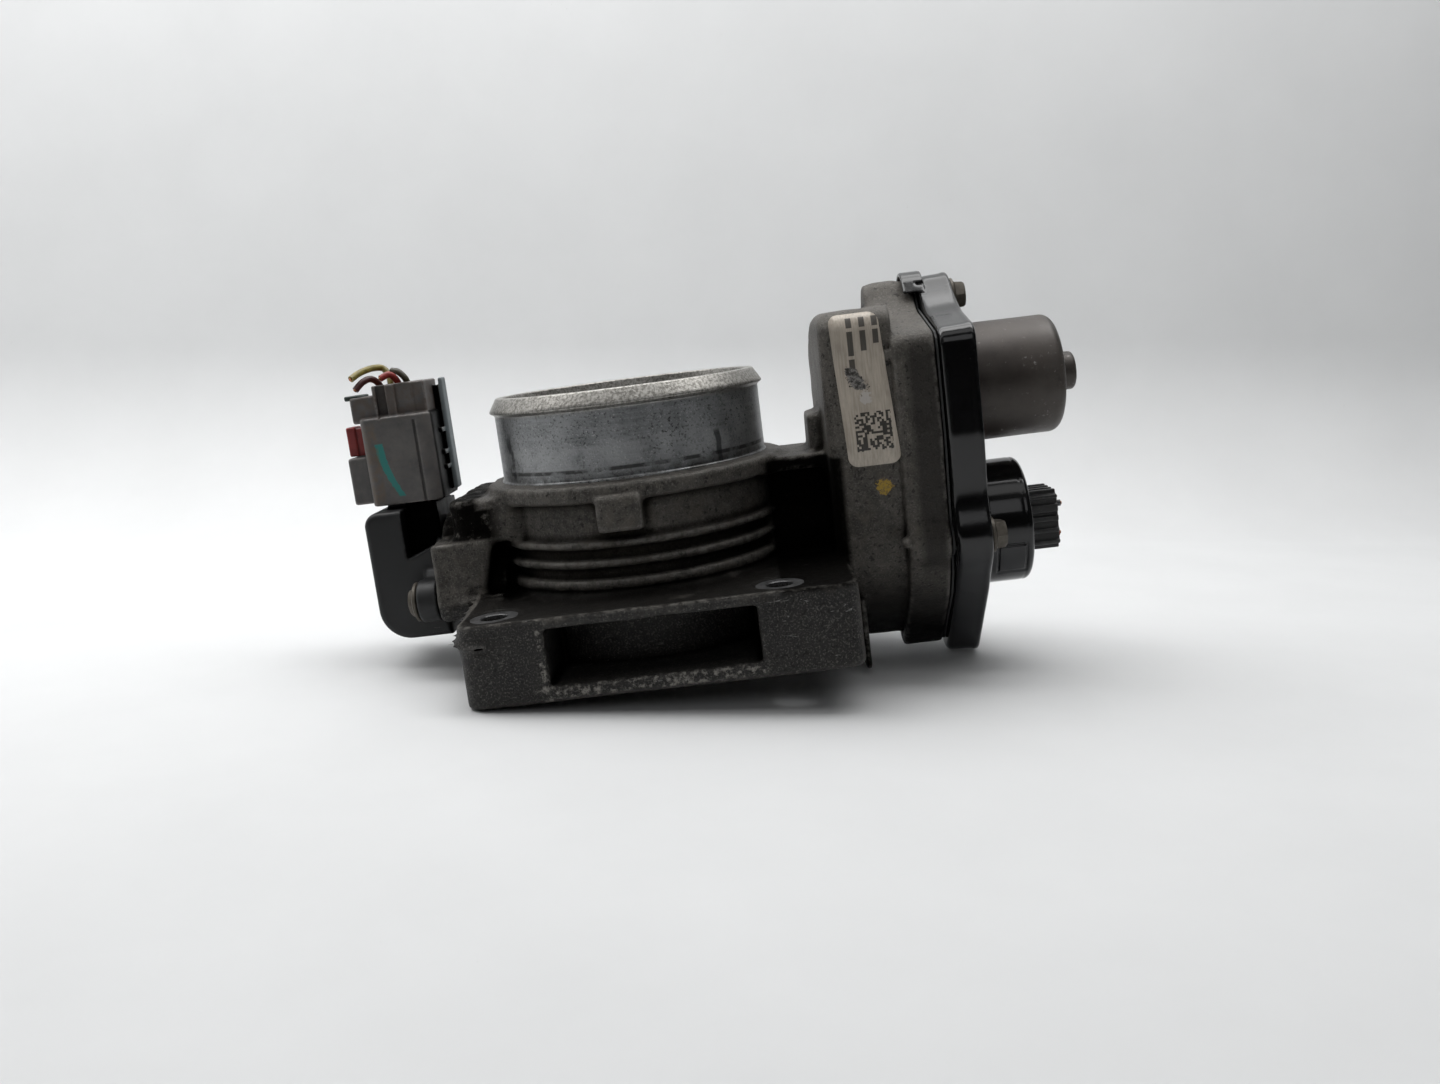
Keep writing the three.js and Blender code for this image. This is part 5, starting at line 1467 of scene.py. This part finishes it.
def plug_adds(p, low):
    """What joins the plug's sleeve: limits along x, y and z, edge radius and fillet."""
    rails = [((-56.4, -54.2), (-1, 3), (z, z + 1.4), 0.3, 0.3) for z in (57.6, 62.0, 68.4)]
    edge = p["rail_right"]
    return [
        ((-60.4, edge - 3), (-6.6, 7.5), (low, p["top"]), 0.5, 0.6),
        ((-57, edge - 0.4), (2.5, 5.5), (p["rail_bottom"], 82), 0.3, 0.4),
        ((edge - 1.1, edge), (2.5, 7.5), (p["rail_bottom"], p["top"]), 0.4, 0.4),
    ] + rails


def plug_cuts(p, low):
    """What is cut from the plug: limits along x, y and z, edge radius and fillet."""
    before, above = -12, 90
    return [
        ((-70.1, -67.2), (before, -6.2), (low + 1.2, above), 0.3, 0.3),
        ((-64.6, -57.8), (before, -6.9), (low + 1.2, above), 0.3, 0.2),
        ((-69.8, -69.3), (before, -7.2), (low + 0.5, above), 0.1, 0.3),
        ((-63.0, -62.5), (before, -7.2), (low + 1, above), 0.1, 0.2),
        ((-73.8, -61.4), (-5.6, 6), (76.8, above), 0.4, 0.3),
        ((-60.2, -59.6), (before, -9.2), (p["bottom"] - 1, p["shoulder"] - 1.5), 0.2, 0.3),
        ((-73.0, -59.3), (-7, 7), (48, 73.3), 0.4, 0.0),
        ((-79.2, -75.9), (-3.6, 3.6), (70, 79.2), 0.0, 0.0),
    ]


def make_sensor_plug():
    p = PLUG
    low = p["shoulder"] - 1
    g = Grid((-82.0, -10.2, 49.5), (-52.8, 10.2, 84.4), cell(0.28))
    front = rounded_meet(-p["half"] - g.Y, p["left"] - g.X, 2.4)
    front = np.maximum(front, rounded_meet(-p["half"] - g.Y, g.X - p["right"], 4.0))
    plan = np.maximum(front, g.Y - p["half"])
    sleeve = rounded_meet(plan, slab(g.Z, p["bottom"], p["shoulder"]), 0.6)
    upper = join(box(g, (-77.8, -59.9), (-7.4, 8), (low, 81.2), 0.5),
                 box(g, (-71.0, -59.9), (-7.6, 8), (low, p["top"]), 0.5))
    ledge = box(g, (p["ledge_left"], p["left"] + 1), (-6, 6), (p["ledge_bottom"], p["ledge_top"]), 0.7)
    hood = box(g, (-78.3, p["left"] + 1), (-6, 6), (73.8, 80.2), 0.6)
    field = join(join(sleeve, upper, 0.6), join(ledge, hood), 0.6)
    for x, y, z, edge, fillet in plug_adds(p, low):
        field = join(field, box(g, x, y, z, edge), fillet)
    for x, y, z, edge, fillet in plug_cuts(p, low):
        field = cut(field, box(g, x, y, z, edge), fillet)
    field = join(field, box(g, (-70.3, -62.0), (-4.4, 4.4), (55, 74), 0.2))
    for x in WIRE_X:
        field = cut(field, box(g, (x - 0.75, x + 0.75), (-1.5, 1.5), (50, 70)))
        field = cut(field, rod_z(g, (68, 90), x, 0, 1.3))
    field_object("sensor_plug_moulding", g, field, "plug", "sensor_plug", "sensor_plug",
                 110000)


def make_lock():
    """The red slide above the plug's ledge."""
    left, low, top = PLUG["ledge_left"], PLUG["ledge_top"] + 0.3, 73.0
    g = Grid((left - 0.2, -3.4, low - 0.2), (-75.9, 3.4, top + 0.2), 0.2)
    slide = box(g, (left, -79.0), (-3.2, 3.2), (low, top), 0.5)
    lock = join(slide, box(g, (-80, -76.2), (-2.7, 2.7), (low, 72.4), 0.3), 0.3)
    for z in (66.2, 67.4, 68.6, 69.8):
        lock = cut(lock, box(g, (left - 1, left + 0.35), (-2.6, 2.6), (z, z + 0.5), 0.1), 0.2)
    field_object("plug_lock_moulding", g, lock, "lock", "lock", "plug_lock_slide", 16000)


def make_latch():
    """The lever on the plug's back."""
    y = PLUG["half"]
    left, right, bottom, top = LATCH.values()
    g = Grid((left - 0.2, y + 1.2, bottom - 0.2), (right + 0.2, y + 4.8, top + 0.2), 0.25)
    strip = box(g, (left, right), (y + 1.4, y + 2.6), (bottom, top), 0.4)
    latch = join(strip, box(g, (left, right), (y + 1.4, y + 4.6), (79.5, top), 0.6), 0.8)
    latch = cut(latch, box(g, (left + 2.5, right - 2.5), (y, y + 4), (66, 74), 0.5), 0.3)
    field_object("plug_latch_moulding", g, latch, "latch", "latch", "plug_latch", 20000)


def make_lip():
    """The green lip at the plug's top left."""
    g = Grid((-80.0, -5.8, 80.3), (-75.7, 5.8, 82.1), 0.2)
    lip = box(g, (-79.8, -75.9), (-5.6, 5.6), (80.5, 81.9), 0.4)
    lip = cut(lip, box(g, (-79.2, -77.8), (-3, 3), (81.5, 83), 0.3), 0.2)
    field_object("plug_terminal_lock_moulding", g, lip, "green", "sensor_plug", "plug_terminal_lock",
                 16000)


def make_seal():
    """The seal that the wires go through."""
    g = Grid((-73.6, -5.4, 77.0), (-61.6, 5.8, 80.2), 0.25)
    seal = box(g, (-73.4, -61.8), (-5.2, 5.6), (77.1, 80), 0.5)
    for x in WIRE_X:
        seal = join(seal, rod_z(g, (77.5, 80.0), x, 0, 1.25), 0.3)
        seal = cut(seal, rod_z(g, (70, 90), x, 0, 1.1), 0.2)
    field_object("wire_seal_moulding", g, seal, "silicone", "sensor_plug", "wire_seal", 16000)


# ------------------------------------------------------------------ valve and return spring
REST_TILT = math.radians(7)


def tilted(points):
    """Turns points about the shaft's axis into the valve's rest position."""
    c, s = math.cos(REST_TILT), math.sin(REST_TILT)
    p = np.asarray(points, float)
    return np.column_stack([p[:, 0], p[:, 1] * c - p[:, 2] * s, p[:, 1] * s + p[:, 2] * c + SHAFT_Z])


def make_plate():
    r, half, edge = 32.1, 1.0, 0.25
    profile = [(0, -half), (8, -half), (20, -half), (r - edge, -half), (r, -half + edge)]
    profile += [(radius, -height) for radius, height in profile[::-1]]
    plate = spun("throttle_plate_disc", profile, "z", (0, 0, 0), MAT["brass"], None, sides=160)
    co = np.zeros(len(plate.data.vertices) * 3)
    plate.data.vertices.foreach_get("co", co)
    design = (co.reshape(-1, 3) - np.array(ORIGIN)) / MM
    plate.data.vertices.foreach_set("co", place(tilted(design)).ravel())
    plate.data.update()
    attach(plate, BODY["throttle"])
    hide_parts("throttle_plate")


def make_spring():
    """The return spring: one end in the housing, the other hooked on the sector gear."""
    left, right, r, wire, turns, start = 70.6, 78.6, 11.4, 0.85, 4.5, 1.4
    count = int(turns * 36)

    def at(angle, radius, x):
        return (x, radius * math.cos(angle), SHAFT_Z + radius * math.sin(angle))

    end = start + 2 * math.pi * turns
    path = [at(start - back, r, x) for back, x in ((0.12, 67.4), (0.1, 68.6), (0.06, 69.8))]
    for i in range(count + 1):
        path.append(at(start + 2 * math.pi * turns * i / count, r, left + (right - left) * i / count))
    for past, out in ((0.14, 0.7), (0.27, 2.0), (0.36, 4), (0.4, 6), (0.42, 8)):
        path.append(at(end + past, r + out, right))
    coil = tube("return_spring_coil", path, wire, MAT["steel"], None, (), 12)
    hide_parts("return_spring")
    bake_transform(coil)


CAD_FINISH = {
    "steel": ["shaft_bearing_left", "shaft_bearing_right", "idler_pin", "motor_shaft", "motor_pinion",
              "throttle_shaft", "plate_screw_1", "plate_screw_2", "shaft_nut"],
    "rubber": ["shaft_seal_left", "shaft_seal_right", "cover_gasket", "sensor_o_ring"],
    "motor": ["motor_end_plate", "motor_magnet_front", "motor_magnet_rear", "motor_brush_upper",
              "motor_brush_lower"],
    "brass": ["motor_bushing_front", "motor_bushing_rear", "motor_blade_1", "motor_blade_2"]
             + [f"sensor_blade_{i}" for i in range(1, 5)],
    "copper": ["motor_armature", "motor_commutator"],
    "nylon": ["sector_gear", "idler_gear", "sensor_rotor"],
}


def finish_cad_nodes():
    for finish, names in CAD_FINISH.items():
        for name in names:
            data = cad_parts[name].data
            data.materials.clear()
            data.materials.append(MAT[finish])


make_camera()
make_wires()
make_stage()
make_lights()
housing = make_casting()
make_spigot()
make_spotfaces()
make_label(housing)
for make in (make_cover, make_motor, make_screws, make_connector, make_motor_plug, make_sensor,
             make_sensor_plug, make_lock, make_latch, make_lip, make_seal, make_plate, make_spring):
    make()
finish_cad_nodes()
